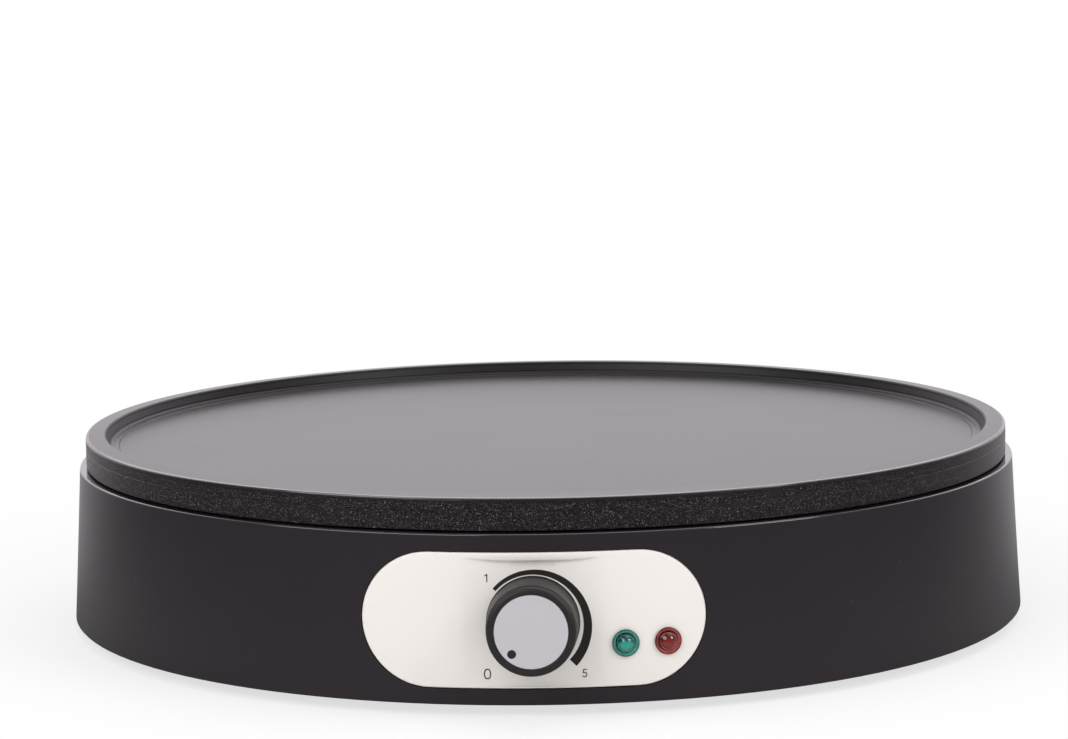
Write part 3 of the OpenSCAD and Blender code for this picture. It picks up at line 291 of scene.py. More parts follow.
def makeLamps(s):
    for name, at, size, watts in s["lamps"]:
        lamp = bpy.data.lights.new(name, "AREA")
        lamp.shape = "RECTANGLE"
        lamp.size, lamp.size_y = size
        lamp.energy = watts
        made = newObject(name, lamp)
        made.location = at
        made.rotation_mode = "QUATERNION"
        made.rotation_quaternion = (Vector(s["lampsAim"]) - Vector(at)).to_track_quat("-Z", "Y")


bpy.context.scene.view_settings.view_transform = "Standard"
makeCamera(camera)
makeWorld(studio)
makeFloor(studio)
makeLamps(studio)
print("camera and studio made")


# finishes that several materials share
def startGroup(name, inputs, outputs):
    group = bpy.data.node_groups.new(name, "ShaderNodeTree")
    for label, value in inputs.items():
        socket = group.interface.new_socket(label, in_out="INPUT", socket_type="NodeSocketFloat")
        socket.default_value = value
    for label in outputs:
        group.interface.new_socket(label, in_out="OUTPUT", socket_type="NodeSocketFloat")
    return group, group.nodes.new("NodeGroupInput").outputs, group.nodes.new("NodeGroupOutput").inputs


grainPattern = {"coarser": 0.35, "fineShare": 0.65, "slowScale": 22.0}


def makeMouldGrain(s):
    # the fine sparked texture of a mould, with slow unevenness in its gloss
    group, given, out = startGroup("mouldGrain", {"Grain Size": 0.4, "Unevenness": 1.0}, ("Height", "Mottle"))
    at = coordinate(group)
    scale = reckon(group, "DIVIDE", 1000.0, given["Grain Size"])
    fine = noise(group, at, scale, roughness=0.6)
    coarse = noise(group, at, times(group, scale, s["coarser"]), detail=1.0)
    height = plus(group, times(group, fine, s["fineShare"]), times(group, coarse, 1 - s["fineShare"]))
    link(group, height, out["Height"])
    slow = noise(group, at, s["slowScale"], detail=3.0, roughness=0.55)
    link(group, times(group, minus(group, slow, 0.5), given["Unevenness"]), out["Mottle"])
    return group


handlingPattern = {
    "patchScale": 14.0, "patchFrom": (0.46, 0.68), "dustChance": (0.45, 1.0), "dustSize": 0.055,
    "scratchAcross": (1500.0, 1300.0), "scratchTurn": (0.3, 0.5, 0.6), "scratchFrom": (0.74, 0.80),
}


def makeHandling(s):
    # rubbed patches, dust and hairline scratches
    group, given, out = startGroup("handling", {"Dust Spacing": 5.0, "Scratch Length": 30.0},
                                   ("Rubbed", "Dust", "Scratches"))
    at = coordinate(group)
    slow = noise(group, at, s["patchScale"], detail=4.0, roughness=0.6)
    link(group, spread(group, slow, *s["patchFrom"]), out["Rubbed"])
    scale = reckon(group, "DIVIDE", 1000.0, given["Dust Spacing"])
    cells = node(group, "TexVoronoi", Vector=at, Scale=scale).outputs
    chance = node(group, "SeparateColor", Color=cells["Color"]).outputs["Red"]
    size = spread(group, chance, *s["dustChance"], 0.0, s["dustSize"])
    link(group, reckon(group, "LESS_THAN", cells["Distance"], size), out["Dust"])
    lengthways = reckon(group, "DIVIDE", 1000.0, given["Scratch Length"])
    stretch = node(group, "CombineXYZ", X=lengthways, Y=s["scratchAcross"][0], Z=s["scratchAcross"][1])
    turned = node(group, "VectorRotate", {"rotation_type": "EULER_XYZ"}, Vector=at, Rotation=s["scratchTurn"])
    scaled = ofVectors(group, "MULTIPLY", turned.outputs[0], stretch.outputs[0])[0]
    lines = noise(group, scaled, 1.0, detail=0.0)
    link(group, spread(group, lines, *s["scratchFrom"]), out["Scratches"])
    return group


wearPattern = {"corner": (0.97, 0.80), "breaks": 240.0, "broken": (0.42, 0.62)}


def makeEdgeWear(s):
    # 1 where a corner turns, broken up so that it doesn't run as a line
    group, given, out = startGroup("edgeWear", {"Width": 0.4, "Strength": 1.0}, ("Worn",))
    rounded = node(group, "Bevel", {"samples": 4}, Radius=times(group, given["Width"], mm)).outputs[0]
    facing = ofVectors(group, "DOT_PRODUCT", rounded, shapeNormal(group))["Value"]
    corner = spread(group, facing, *s["corner"])
    breaks = noise(group, coordinate(group), s["breaks"], detail=3.0, roughness=0.6)
    worn = times(group, corner, spread(group, breaks, *s["broken"]))
    link(group, times(group, worn, given["Strength"]), out["Worn"])
    return group


mouldGrain = makeMouldGrain(grainPattern)
handling = makeHandling(handlingPattern)
edgeWear = makeEdgeWear(wearPattern)


def place(tree, group, **sockets):
    made = tree.nodes.new("ShaderNodeGroup")
    made.node_tree = group
    fill(tree, made.inputs, sockets)
    return made.outputs


def startMaterial(name, **sockets):
    material = bpy.data.materials.new(name)
    material.use_nodes = True
    tree = material.node_tree
    shader = tree.nodes["Principled BSDF"].inputs
    fill(tree, shader, sockets)
    return material, tree, shader


def bump(tree, height, depth, under=None):
    made = node(tree, "Bump", Strength=1.0, Distance=depth * mm, Height=height)
    if under is not None:
        link(tree, under, made.inputs["Normal"])
    return made.outputs[0]


def grainOf(tree, s):
    return place(tree, mouldGrain, Grain_Size=s["grain"], Unevenness=s["uneven"])


def marksOf(tree, s):
    grain = grainOf(tree, s)
    marks = place(tree, handling, Dust_Spacing=s["dustSpacing"], Scratch_Length=s["scratchLength"])
    worn = place(tree, edgeWear, Width=s["wearWidth"], Strength=s["wear"])["Worn"]
    return grain, marks, worn


def mottled(tree, grain, s, dark, light):
    return blendColour(tree, spread(tree, grain["Mottle"], -s["toneSpread"], s["toneSpread"]), dark, light)


def scratched(tree, grain, marks, s):
    height = minus(tree, grain["Height"], times(tree, marks["Scratches"], s["scratch"]))
    return bump(tree, height, s["depth"])


def roughen(tree, shader, grain, s, by):
    link(tree, plus(tree, s["roughness"], by), shader["Roughness"])
    link(tree, bump(tree, grain["Height"], s["depth"]), shader["Normal"])


# moulded plastics, rubber and ceramics: what a finish leaves out is as here
plasticBasis = {
    "toneSpread": 0.06, "uneven": 0.12, "dust": 0.3, "dustSpacing": 5.0, "dustRougher": 0.2,
    "wear": 0.4, "wearWidth": 0.35, "wornSmoother": 0.1, "rubbed": 0.05, "scratch": 0.3,
    "scratchLength": 30.0, "stripeFrom": (0.1, 0.2),
    "polishRise": 0.2, "polishIor": 1.9, "polishRoughness": 0.1,
}


def mouldedPlastic(name, finish):
    s = {**plasticBasis, **finish}
    dark, light, wornTone, dustTone = (colour(*tone) for tone in s["tones"])
    material, tree, shader = startMaterial(name, IOR=1.5)
    grain, marks, worn = marksOf(tree, s)
    tinted = mottled(tree, grain, s, dark, light)
    if "polish" in s:
        upwards = partsOf(tree, coordinate(tree))["Z"]
        shoulder = spread(tree, upwards, s["polishFrom"] * mm, (s["polishFrom"] + s["polishRise"]) * mm)
        # the shoulder's colour is lighter here as a painted highlight; the coat and lower roughness are its
        # own gloss
        tinted = blendColour(tree, shoulder, tinted, s["polishColour"])
        shader["Coat IOR"].default_value = s["polishIor"]
        shader["Coat Roughness"].default_value = s["polishRoughness"]
        link(tree, times(tree, shoulder, s["polishCoat"]), shader["Coat Weight"])
    if "stripe" in s:
        turned = partsOf(tree, coordinate(tree, "Normal"))["Z"]
        tinted = blendColour(tree, spread(tree, turned, *s["stripeFrom"]), tinted, s["stripe"])
    dusty = blendColour(tree, times(tree, marks["Dust"], s["dust"]), tinted, dustTone)
    link(tree, blendColour(tree, worn, dusty, wornTone), shader["Base Color"])
    rough = plus(tree, s["roughness"], grain["Mottle"])
    rough = minus(tree, rough, times(tree, marks["Rubbed"], s["rubbed"]))
    rough = plus(tree, rough, times(tree, marks["Dust"], s["dustRougher"]))
    if "polish" in s:
        rough = minus(tree, rough, times(tree, shoulder, s["polish"]))
    rough = minus(tree, rough, times(tree, worn, s["wornSmoother"]), clamp=True)
    link(tree, rough, shader["Roughness"])
    link(tree, scratched(tree, grain, marks, s), shader["Normal"])
    return material


wire = {"roughness": 0.36, "grain": 0.6, "depth": 0.01, "dustSpacing": 3.0}
finishes = {        # their tones: dark, light, worn and dusty
    "base": {       # its shoulder is rubbed to a polish by every wipe, and its colour there is lighter as a painted highlight
        "tones": ((36, 30, 35), (42, 36, 41), (66, 61, 65), (150, 146, 148)),
        "roughness": 0.325, "grain": 0.35, "depth": 0.016, "dust": 0.22, "wear": 0.35, "uneven": 0.06,
        "rubbed": 0.015, "polishFrom": 52.7, "polish": 0.15, "polishColour": colour(44, 38, 43),
        "polishCoat": 0.75,
    },
    "cover": {
        "tones": ((35, 33, 34), (41, 39, 40), (66, 64, 65), (150, 146, 148)),
        "roughness": 0.50, "grain": 0.6, "depth": 0.03, "dust": 0.25, "wear": 0.3,
    },
    "panel": {
        "tones": ((230, 224, 220), (235, 230, 225), (238, 234, 230), (170, 165, 160)),
        "roughness": 0.38, "grain": 0.5, "depth": 0.004, "dust": 0.12, "dustSpacing": 8.0, "wear": 0.5,
        "uneven": 0.08, "scratch": 0.15,
    },
    "knob": {
        "tones": ((32, 28, 30), (38, 34, 36), (68, 64, 66), (140, 136, 138)),
        "roughness": 0.46, "grain": 0.22, "depth": 0.010, "dust": 0.15, "dustSpacing": 4.0,
    },
    "cap": {
        "tones": ((181, 177, 182), (188, 184, 189), (218, 216, 220), (120, 116, 122)),
        "roughness": 0.42, "grain": 0.18, "depth": 0.004, "dust": 0.12, "wear": 0.6, "uneven": 0.06,
        "scratch": 0.2,
    },
    "rubber": {
        "tones": ((24, 23, 23), (31, 30, 30), (52, 50, 50), (120, 116, 112)),
        "roughness": 0.72, "grain": 0.5, "depth": 0.02, "dust": 0.4, "dustSpacing": 2.5, "wear": 0.3,
        "rubbed": 0.12,
    },
    "nylon": {
        "tones": ((196, 194, 184), (210, 208, 198), (224, 222, 214), (120, 116, 110)),
        "roughness": 0.40, "grain": 0.4, "depth": 0.006, "dust": 0.15, "wear": 0.3,
    },
    "ceramic": {
        "tones": ((214, 208, 196), (228, 223, 213), (196, 188, 174), (120, 112, 100)),
        "roughness": 0.58, "grain": 0.3, "depth": 0.012, "dustSpacing": 1.4,
    },
    "sleeve": {
        "tones": ((188, 182, 166), (214, 209, 195), (170, 160, 140), (110, 104, 92)),
        "roughness": 0.66, "grain": 0.9, "depth": 0.05, "dustSpacing": 2.0, "wear": 0.2,
    },
    "live": {**wire, "tones": ((84, 50, 30), (96, 59, 37), (120, 84, 62), (150, 140, 130))},
    "neutral": {**wire, "tones": ((30, 70, 138), (38, 82, 154), (80, 116, 172), (150, 150, 155))},
    "earth": {
        **wire, "tones": ((196, 182, 34), (208, 194, 46), (214, 206, 96), (150, 150, 130)),
        "stripe": colour(34, 112, 50),
    },
    "hot_wire": {
        **wire, "tones": ((206, 202, 192), (220, 217, 208), (190, 184, 172), (120, 115, 105)),
        "roughness": 0.5, "grain": 0.7, "depth": 0.02,
    },
}
coats = {name: mouldedPlastic(name + "Finish", s) for name, s in finishes.items()}

metalBasis = {
    "toneSpread": 0.1, "grain": 0.25, "uneven": 0.3, "depth": 0.006, "scratch": 0.6, "scratchLength": 12.0,
    "dustSpacing": 2.5, "wear": 0.6, "wearWidth": 0.25, "wornSmoother": 0.08,
    "patches": 90.0, "patchFrom": (0.52, 0.74), "patchRougher": 0.14, "mottleShare": 0.6,
    "heatScale": 26.0, "heatFrom": (0.44, 0.62), "heatShare": 0.6,
}


def metal(name, finish):
    # drawn or rolled metal, dulled in patches
    s = {**metalBasis, **finish}
    dark, light, dull, bright = (colour(*tone) for tone in s["tones"])
    material, tree, shader = startMaterial(name, Metallic=1.0)
    at = coordinate(tree)
    grain, marks, worn = marksOf(tree, s)
    patches = spread(tree, noise(tree, at, s["patches"], detail=4.0, roughness=0.65), *s["patchFrom"])
    tone = mottled(tree, grain, s, dark, light)
    tone = blendColour(tree, times(tree, patches, s["dulled"]), tone, dull)
    if "heat" in s:
        hot = spread(tree, noise(tree, at, s["heatScale"]), *s["heatFrom"])
        tone = blendColour(tree, times(tree, hot, s["heatShare"]), tone, s["heat"])
    link(tree, blendColour(tree, worn, tone, bright), shader["Base Color"])
    rough = plus(tree, s["roughness"], times(tree, grain["Mottle"], s["mottleShare"]))
    rough = plus(tree, rough, times(tree, patches, s["patchRougher"]))
    rough = minus(tree, rough, times(tree, worn, s["wornSmoother"]), clamp=True)
    link(tree, rough, shader["Roughness"])
    link(tree, scratched(tree, grain, marks, s), shader["Normal"])
    return material


metals = {          # their tones: dark, light, dull and bright
    "steel": {
        "tones": ((176, 177, 178), (192, 193, 193), (140, 136, 128), (222, 222, 220)),
        "dulled": 0.5, "roughness": 0.32,
    },
    "alu": {
        "tones": ((194, 196, 199), (208, 210, 212), (160, 161, 163), (228, 229, 230)),
        "dulled": 0.4, "roughness": 0.38, "grain": 0.6, "depth": 0.01,
    },
    "sheath": {
        "tones": ((96, 90, 84), (114, 108, 100), (66, 60, 55), (150, 144, 136)),
        "heat": colour(92, 82, 104), "dulled": 0.6, "roughness": 0.46, "patches": 60.0,
    },
    "brass": {
        "tones": ((192, 160, 90), (208, 178, 108), (132, 98, 54), (228, 204, 142)),
        "dulled": 0.6, "roughness": 0.30,
    },
    "silver": {
        "tones": ((214, 212, 206), (226, 224, 219), (150, 144, 132), (240, 239, 236)),
        "dulled": 0.5, "roughness": 0.26,
    },
}
coats.update({name: metal(name + "Metal", s) for name, s in metals.items()})

lampGlass = {
    "dark": colour(214, 178, 140), "light": colour(232, 206, 176), "dust": colour(150, 140, 130),
    "dustSpacing": 1.2, "grain": 1.0, "uneven": 0.3, "toneSpread": 0.1, "depth": 0.008,
    "roughness": 0.06, "rubbed": 0.08,
}


def makeLampGlass(s):
    material, tree, shader = startMaterial("lampGlass", IOR=1.5, Transmission_Weight=0.8)
    grain = grainOf(tree, s)
    marks = place(tree, handling, Dust_Spacing=s["dustSpacing"])
    tint = mottled(tree, grain, s, s["dark"], s["light"])
    link(tree, blendColour(tree, marks["Dust"], tint, s["dust"]), shader["Base Color"])
    roughen(tree, shader, grain, s, times(tree, marks["Rubbed"], s["rubbed"]))
    return material


coats["neon"] = makeLampGlass(lampGlass)

# the plate's baked non-stick coat; lengths in mm, radii from the plate's axis
bakedCoat = {
    "ior": 1.5, "coatIor": 1.9, "coatRoughness": 0.12,
    "dark": colour(37, 32, 36), "light": colour(42, 37, 41), "tone": (0.35, 0.65),
    "sideAndWallShadeDark": colour(14, 10, 12), "sideAndWallShadeLight": colour(22, 17, 20), "sideTone": (0.42, 0.60),
    "flakeAndGlint": colour(142, 133, 139), "flakeSize": 0.34, "flakeFrom": (0.572, 0.68),
    "cloudScale": 0.3, "cloudFrom": (0.42, 0.62), "cloudLow": 0.5, "flakeSmoother": 0.2,
    "flakesAbove": 0.12, "pitsAbove": 0.1,      # their share on the side above the lip
    "dust": colour(170, 166, 170), "dustSpacing": 7.0, "dustShare": 0.12,
    "worn": colour(82, 78, 82), "wear": 0.35, "wearWidth": 0.5,
    "facing": (0.80, 0.98), "faceEnds": (151.9, 151.0), "sideFrom": (151.6, 152.2), "belowFrom": (62.7, 61.3),
    "lipRadius": (151.2, 151.8), "lipHeight": (62.4, 62.9), "lipCoat": 0.9,
    "roughness": 0.22, "wallRoughness": 0.46, "sideRougher": -0.08, "rubbed": 0.015, "uneven": 0.02,
    "fineGrain": 0.5, "fineDepth": 0.004, "sideGrain": 0.55, "sideUneven": 0.2, "sideDepth": 0.055,
    "sideLines": 2600.0, "faceLines": 900.0, "faceShare": 0.2, "lineDepth": 0.045,
}


def mostlyBelow(tree, side, below, share):
    # a little on the whole side, and the rest where it lies below the lip
    return plus(tree, times(tree, side, share), times(tree, below, 1 - share))


def latheLines(tree, along, scale):
    settings = {"noise_dimensions": "1D"}
    return node(tree, "TexNoise", settings, W=times(tree, along, scale), Scale=1.0, Detail=2.0).outputs[0]


def makeCoating(s):
    # smooth and paler on the face, coarse with bright grains on the turned side; every face that doesn't look
    # up takes the side's darker tone, which on the rim's inner walls is painted shade
    material, tree, shader = startMaterial("bakedCoat", IOR=s["ior"], Coat_IOR=s["coatIor"],
                                           Coat_Roughness=s["coatRoughness"])

    def between(value, ends):
        return spread(tree, value, ends[0] * mm, ends[1] * mm)

    spot = partsOf(tree, coordinate(tree))
    radius = distanceOut(tree, spot["X"], minus(tree, spot["Y"], axisY))
    facing = partsOf(tree, shapeNormal(tree))["Z"]
    face = times(tree, spread(tree, facing, *s["facing"]), between(radius, s["faceEnds"]))
    side = between(radius, s["sideFrom"])
    below = times(tree, side, between(spot["Z"], s["belowFrom"]))
    grain = place(tree, mouldGrain, Grain_Size=s["fineGrain"], Unevenness=s["uneven"])
    rough = place(tree, mouldGrain, Grain_Size=s["sideGrain"], Unevenness=s["sideUneven"])
    marks = place(tree, handling, Dust_Spacing=s["dustSpacing"])
    worn = place(tree, edgeWear, Width=s["wearWidth"], Strength=s["wear"])["Worn"]

    flat = blendColour(tree, spread(tree, grain["Height"], *s["tone"]), s["dark"], s["light"])
    # the turned side's own darker tone, also laid as painted shade on the rim's inner walls and on every face
    # that doesn't look up
    deep = blendColour(tree, spread(tree, rough["Height"], *s["sideTone"]), s["sideAndWallShadeDark"], s["sideAndWallShadeLight"])
    tone = blendColour(tree, face, deep, flat)
    perFlake = 1 / (s["flakeSize"] * mm)
    flakes = noise(tree, coordinate(tree), perFlake, roughness=0.75)
    clouds = noise(tree, coordinate(tree), perFlake * s["cloudScale"], roughness=0.75)
    bright = times(tree, spread(tree, flakes, *s["flakeFrom"]),
                   spread(tree, clouds, *s["cloudFrom"], s["cloudLow"], 1.0))
    # bright grains painted on the side: partly the coat's own light specks, partly painted glints of the
    # lamps on them
    flakeAndGlint = times(tree, bright, mostlyBelow(tree, side, below, s["flakesAbove"]))
    tone = blendColour(tree, flakeAndGlint, tone, s["flakeAndGlint"])
    tone = blendColour(tree, times(tree, marks["Dust"], s["dustShare"]), tone, s["dust"])
    link(tree, blendColour(tree, worn, tone, s["worn"]), shader["Base Color"])

    # the rim's outer lip is rubbed to a shine
    lip = times(tree, between(radius, s["lipRadius"]), between(spot["Z"], s["lipHeight"]))
    link(tree, times(tree, lip, s["lipCoat"]), shader["Coat Weight"])
    gloss = plus(tree, spread(tree, face, 0.0, 1.0, s["wallRoughness"], s["roughness"]), grain["Mottle"])
    gloss = plus(tree, gloss, times(tree, marks["Rubbed"], s["rubbed"]))
    gloss = plus(tree, gloss, times(tree, side, s["sideRougher"]))
    gloss = minus(tree, gloss, times(tree, flakeAndGlint, s["flakeSmoother"]), clamp=True)
    link(tree, gloss, shader["Roughness"])

    # lathe lines run round the side, and fainter round the face
    turned = times(tree, latheLines(tree, spot["Z"], s["sideLines"]), side)
    faceOnly = minus(tree, s["faceShare"], times(tree, side, s["faceShare"]))
    faced = times(tree, latheLines(tree, radius, s["faceLines"]), faceOnly)
    lines = bump(tree, plus(tree, turned, faced), s["lineDepth"])
    fine = bump(tree, grain["Height"], s["fineDepth"], under=lines)
    pits = times(tree, rough["Height"], mostlyBelow(tree, side, below, s["pitsAbove"]))
    link(tree, bump(tree, pits, s["sideDepth"], under=fine), shader["Normal"])
    return material


coats["griddle"] = makeCoating(bakedCoat)
dressed = 0
for part in nodes.values():
    for slot in part.material_slots:
        finish = slot.material.name.split(".")[0]
        if finish in coats:
            slot.material = coats[finish]
            dressed += 1
print("finishes made:", dressed, "pieces dressed")


# tools for the pieces built here, whose plans and profiles are in mm
def addPiece(name, shape, material, body, replaced=(), sharp=40):
    bmesh.ops.recalc_face_normals(shape, faces=shape.faces)
    mesh = bpy.data.meshes.new(name)
    shape.to_mesh(mesh)
    shape.free()
    mesh.materials.append(material)
    mesh.shade_smooth()
    mesh.set_sharp_from_angle(angle=math.radians(sharp))
    made = newObject(name, mesh)
    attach(made, body)
    if replaced:
        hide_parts(*replaced)


def onCircle(cx, cy, r, angle):
    return cx + r * math.cos(angle), cy + r * math.sin(angle)


def around(cx, cy, r, count):
    return [onCircle(cx, cy, r, 2 * math.pi * i / count) for i in range(count)]


def roundCorner(cx, cy, r, start, end, steps=6):
    # part of a circle, in degrees
    return [onCircle(cx, cy, r, math.radians(start + (end - start) * i / steps)) for i in range(steps + 1)]


def lathe(shape, profile, matrix, steps):
    # turns a profile of (radius, height) about the frame's z; ends on the axis are closed to a point
    rings = []
    for radius, height in profile:
        if radius < 1e-6:
            rings.append([shape.verts.new(matrix @ Vector((0, 0, height * mm)))])
            continue
        angles = [2 * math.pi * i / steps for i in range(steps)]
        rings.append([shape.verts.new(matrix @ Vector((radius * math.cos(a) * mm, radius * math.sin(a) * mm,
                                                       height * mm))) for a in angles])
    for one, two in zip(rings, rings[1:]):
        for i in range(steps):
            k = (i + 1) % steps
            corners = [one[i % len(one)], one[k % len(one)], two[k % len(two)], two[i % len(two)]]
            corners = [c for j, c in enumerate(corners) if c not in corners[:j]]
            if len(corners) > 2:
                shape.faces.new(corners)


def addLoop(plan, loop):
    # a closed loop of the plan, which the mesh then keeps as edges
    points, edges = plan
    start = len(points)
    points.extend(loop)
    edges.extend((start + i, start + (i + 1) % len(loop)) for i in range(len(loop)))


def plateOf(shape, plan, above, below, keep, near=1e-6):
    # two skins over one plan, closed along every edge; keep says which places belong to it
    points, edges = plan
    made = delaunay_2d_cdt([Vector(p) for p in points], edges, [], 0, near)
    flat, faces = made[0], made[2]
    upper = [shape.verts.new(above(p.x, p.y)) for p in flat]
    lower = [shape.verts.new(below(p.x, p.y)) for p in flat]
    uses = {}
    for face in faces:
        if not keep(sum(flat[i].x for i in face) / len(face), sum(flat[i].y for i in face) / len(face)):
            continue
        shape.faces.new([upper[i] for i in face])
        shape.faces.new([lower[i] for i in reversed(face)])
        for i, k in zip(face, list(face[1:]) + [face[0]]):
            key = (min(i, k), max(i, k))
            uses[key] = uses.get(key, 0) + 1
    for (i, k), count in uses.items():
        if count == 1:
            shape.faces.new([upper[i], upper[k], lower[k], lower[i]])
    bmesh.ops.delete(shape, geom=[v for v in shape.verts if not v.link_faces], context="VERTS")


def roundedFall(inside, edge):
    # how far a rounded edge has dropped, at a place this far in from it
    fall = edge - max(0.0, inside)
    return edge - math.sqrt(max(0.0, edge ** 2 - fall ** 2)) if inside < edge else 0.0


# control panel: the wall's own curve, and a sunk flat for the dial between a ledge and a foot
panel = {
    "half": 50.45, "end": 19.925, "z": 27.925, "thick": 3.0,
    "edge": 0.55, "edgeSteps": (0.0, 0.03, 0.12, 0.27, 0.48, 0.72, 1.0, 1.5), "outlineSteps": 260,
    "ledgeLow": 18.15, "ledgeRise": 0.42, "ledgeHalf": 15.0, "ledgePower": 3.2, "ledgeSoft": 0.85,
    "footLow": 18.425, "footSoft": 0.9, "seamSoft": 0.16,
    "rowHalf": 34.0, "rowsAt": (-0.5, -0.25, 0.0, 0.25, 0.5),
    "ledgeSteps": 120, "ledgeInset": 0.3, "footSteps": 100, "footInset": 1.2,
    "spindleHole": 4.0, "lampHole": 3.1, "holeSteps": 40, "holeRing": 0.5,
    "grid": 1.1, "gridInset": 0.5, "gridFromHole": 1.0, "gridFromLedge": 0.42,
}


def outlineDistance(s, x, z):
    # how far inside the outline a place is
    reach = s["half"] - s["end"]
    return s["end"] - math.hypot(max(0.0, abs(x) - reach), z - s["z"])


def softMax(a, b, width):
    h = max(width - abs(a - b), 0.0) / width
    return max(a, b) + h * h * width * 0.25


def softStep(t):
    t = min(1.0, max(0.0, t))
    return t * t * (3 - 2 * t)


def ledgeLine(s, x):
    # the ledge runs nearly level and lifts towards its ends
    return s["ledgeLow"] + s["ledgeRise"] * (abs(x) / s["ledgeHalf"]) ** s["ledgePower"]


def panelDepth(s, x, z):
    # y of the front face, in mm from the plate's axis
    radius = wallRadius(z)
    cone = -math.sqrt(radius * radius - x * x)
    up = (z - dial["z"]) / math.cos(wall["tilt"])
    flat = dial["y"] + up * math.sin(wall["tilt"])
    sunk = softMax(cone, flat, s["seamSoft"])
    ledge = softStep(0.5 + (up - ledgeLine(s, x)) / s["ledgeSoft"])
    foot = softStep(0.5 + (-s["footLow"] - up) / s["footSoft"])
    return sunk + (cone - sunk) * max(ledge, foot) + roundedFall(outlineDistance(s, x, z), s["edge"])


def outline(s, inset):
    # evenly spaced round the rounded bar, inset from its edge
    reach, r = s["half"] - s["end"], s["end"] - inset
    length = 4 * reach + 2 * math.pi * r
    points = []
    for i in range(s["outlineSteps"]):
        t = length * i / s["outlineSteps"]
        if t < 2 * reach:
            points.append((-reach + t, s["z"] + r))
        elif t < 2 * reach + math.pi * r:
            a = math.pi / 2 - (t - 2 * reach) / r
            points.append(onCircle(reach, s["z"], r, a))
        elif t < 4 * reach + math.pi * r:
            points.append((reach - (t - 2 * reach - math.pi * r), s["z"] - r))
        else:
            a = -math.pi / 2 - (t - 4 * reach - math.pi * r) / r
            points.append(onCircle(-reach, s["z"], r, a))
    return points


def rowAcross(s, steps, height, inset):
    # a row of points over the dial's flat, at a height up the wall from the dial
    points = []
    for i in range(steps + 1):
        x = -s["rowHalf"] + 2 * s["rowHalf"] * i / steps
        z = dial["z"] + height(x) * math.cos(wall["tilt"])
        if outlineDistance(s, x, z) > inset:
            points.append((x, z))
    return points


def makePanel(s):
    insets = [s["edge"] * f for f in s["edgeSteps"]]
    plan = ([], [])
    for inset in insets:
        addLoop(plan, outline(s, inset))
    holes = [(0.0, dial["z"], s["spindleHole"])]
    for name in ("green_lens", "red_lens"):
        centre = lampFrame(name).translation / mm
        holes.append((centre.x, centre.z, s["lampHole"]))
    for x, z, r in holes:
        for grow in (0.0, s["holeRing"]):
            addLoop(plan, around(x, z, r + grow, s["holeSteps"]))
    # close rows where the ledge and the foot turn, and a staggered grid over the rest
    ledge = []
    for off in s["rowsAt"]:
        ledge += rowAcross(s, s["ledgeSteps"], lambda x: ledgeLine(s, x) + off * s["ledgeSoft"],
                           insets[-1] + s["ledgeInset"])
    plan[0].extend(ledge)
    for off in s["rowsAt"]:
        plan[0].extend(rowAcross(s, s["footSteps"], lambda x: -s["footLow"] + off * s["footSoft"],
                                 s["footInset"]))
    step = s["grid"]
    across, upwards = int(s["half"] / step), int(s["end"] / step)
    for i in range(-across, across + 1):
        for k in range(-upwards, upwards + 1):
            x, z = i * step + (0.5 * step if k % 2 else 0), s["z"] + k * step
            if outlineDistance(s, x, z) < insets[-1] + s["gridInset"]:
                continue
            if any(math.hypot(x - hx, z - hz) < hr + s["gridFromHole"] for hx, hz, hr in holes):
                continue
            if any(abs(z - rz) < s["gridFromLedge"] and abs(x - rx) < s["gridFromLedge"] for rx, rz in ledge):
                continue
            plan[0].append((x, z))

    def fromAxis(x, y, z):
        return Vector((x, y, z)) * mm + Vector((0, axisY, 0))

    def front(x, z):
        return fromAxis(x, panelDepth(s, x, z), z)

    def back(x, z):
        radius = wallRadius(z) - s["thick"]
        return fromAxis(x, -math.sqrt(radius * radius - x * x), z)

    def keep(x, z):
        return outlineDistance(s, x, z) >= 0 and all(math.hypot(x - hx, z - hz) >= hr for hx, hz, hr in holes)

    shape = bmesh.new()
    plateOf(shape, plan, front, back, keep, near=1e-5)
    addPiece("controlPanel", shape, coats["panel"], "base", ["control_panel"], sharp=50)


makePanel(panel)
print("control panel made")

# knob: skirt, shadow groove, rounded bezel, the spindle's hub, and the cap let into the front
knob = {
    "gap": 1.2, "height": 17.6, "radius": 13.55, "rearRound": 0.6, "frontRadius": 13.05,
    "skirt": 1.7, "swell": 2.2, "sideSteps": 12, "crown": 2.2,
    "bezel": 1.5, "groove": 0.55, "grooveWide": 1.05,
    "hub": 5.0, "hubShort": 1.8, "bore": 3.05, "boreDeep": 1.4, "bevel": 0.3,
    "capRadius": 10.7, "capDeep": 0.8, "capSunk": 0.06, "capEdge": 0.22, "capSteps": 160, "capGrid": 0.8,
    "dotAt": 8.5, "dotRadius": 1.24, "dotAngle": 228.5, "dotSunk": 0.12, "dotEdge": 0.2, "dotSteps": 48,
    "steps": 192,
}


def dotCentre(s):
    return onCircle(0, 0, s["dotAt"], math.radians(s["dotAngle"]))


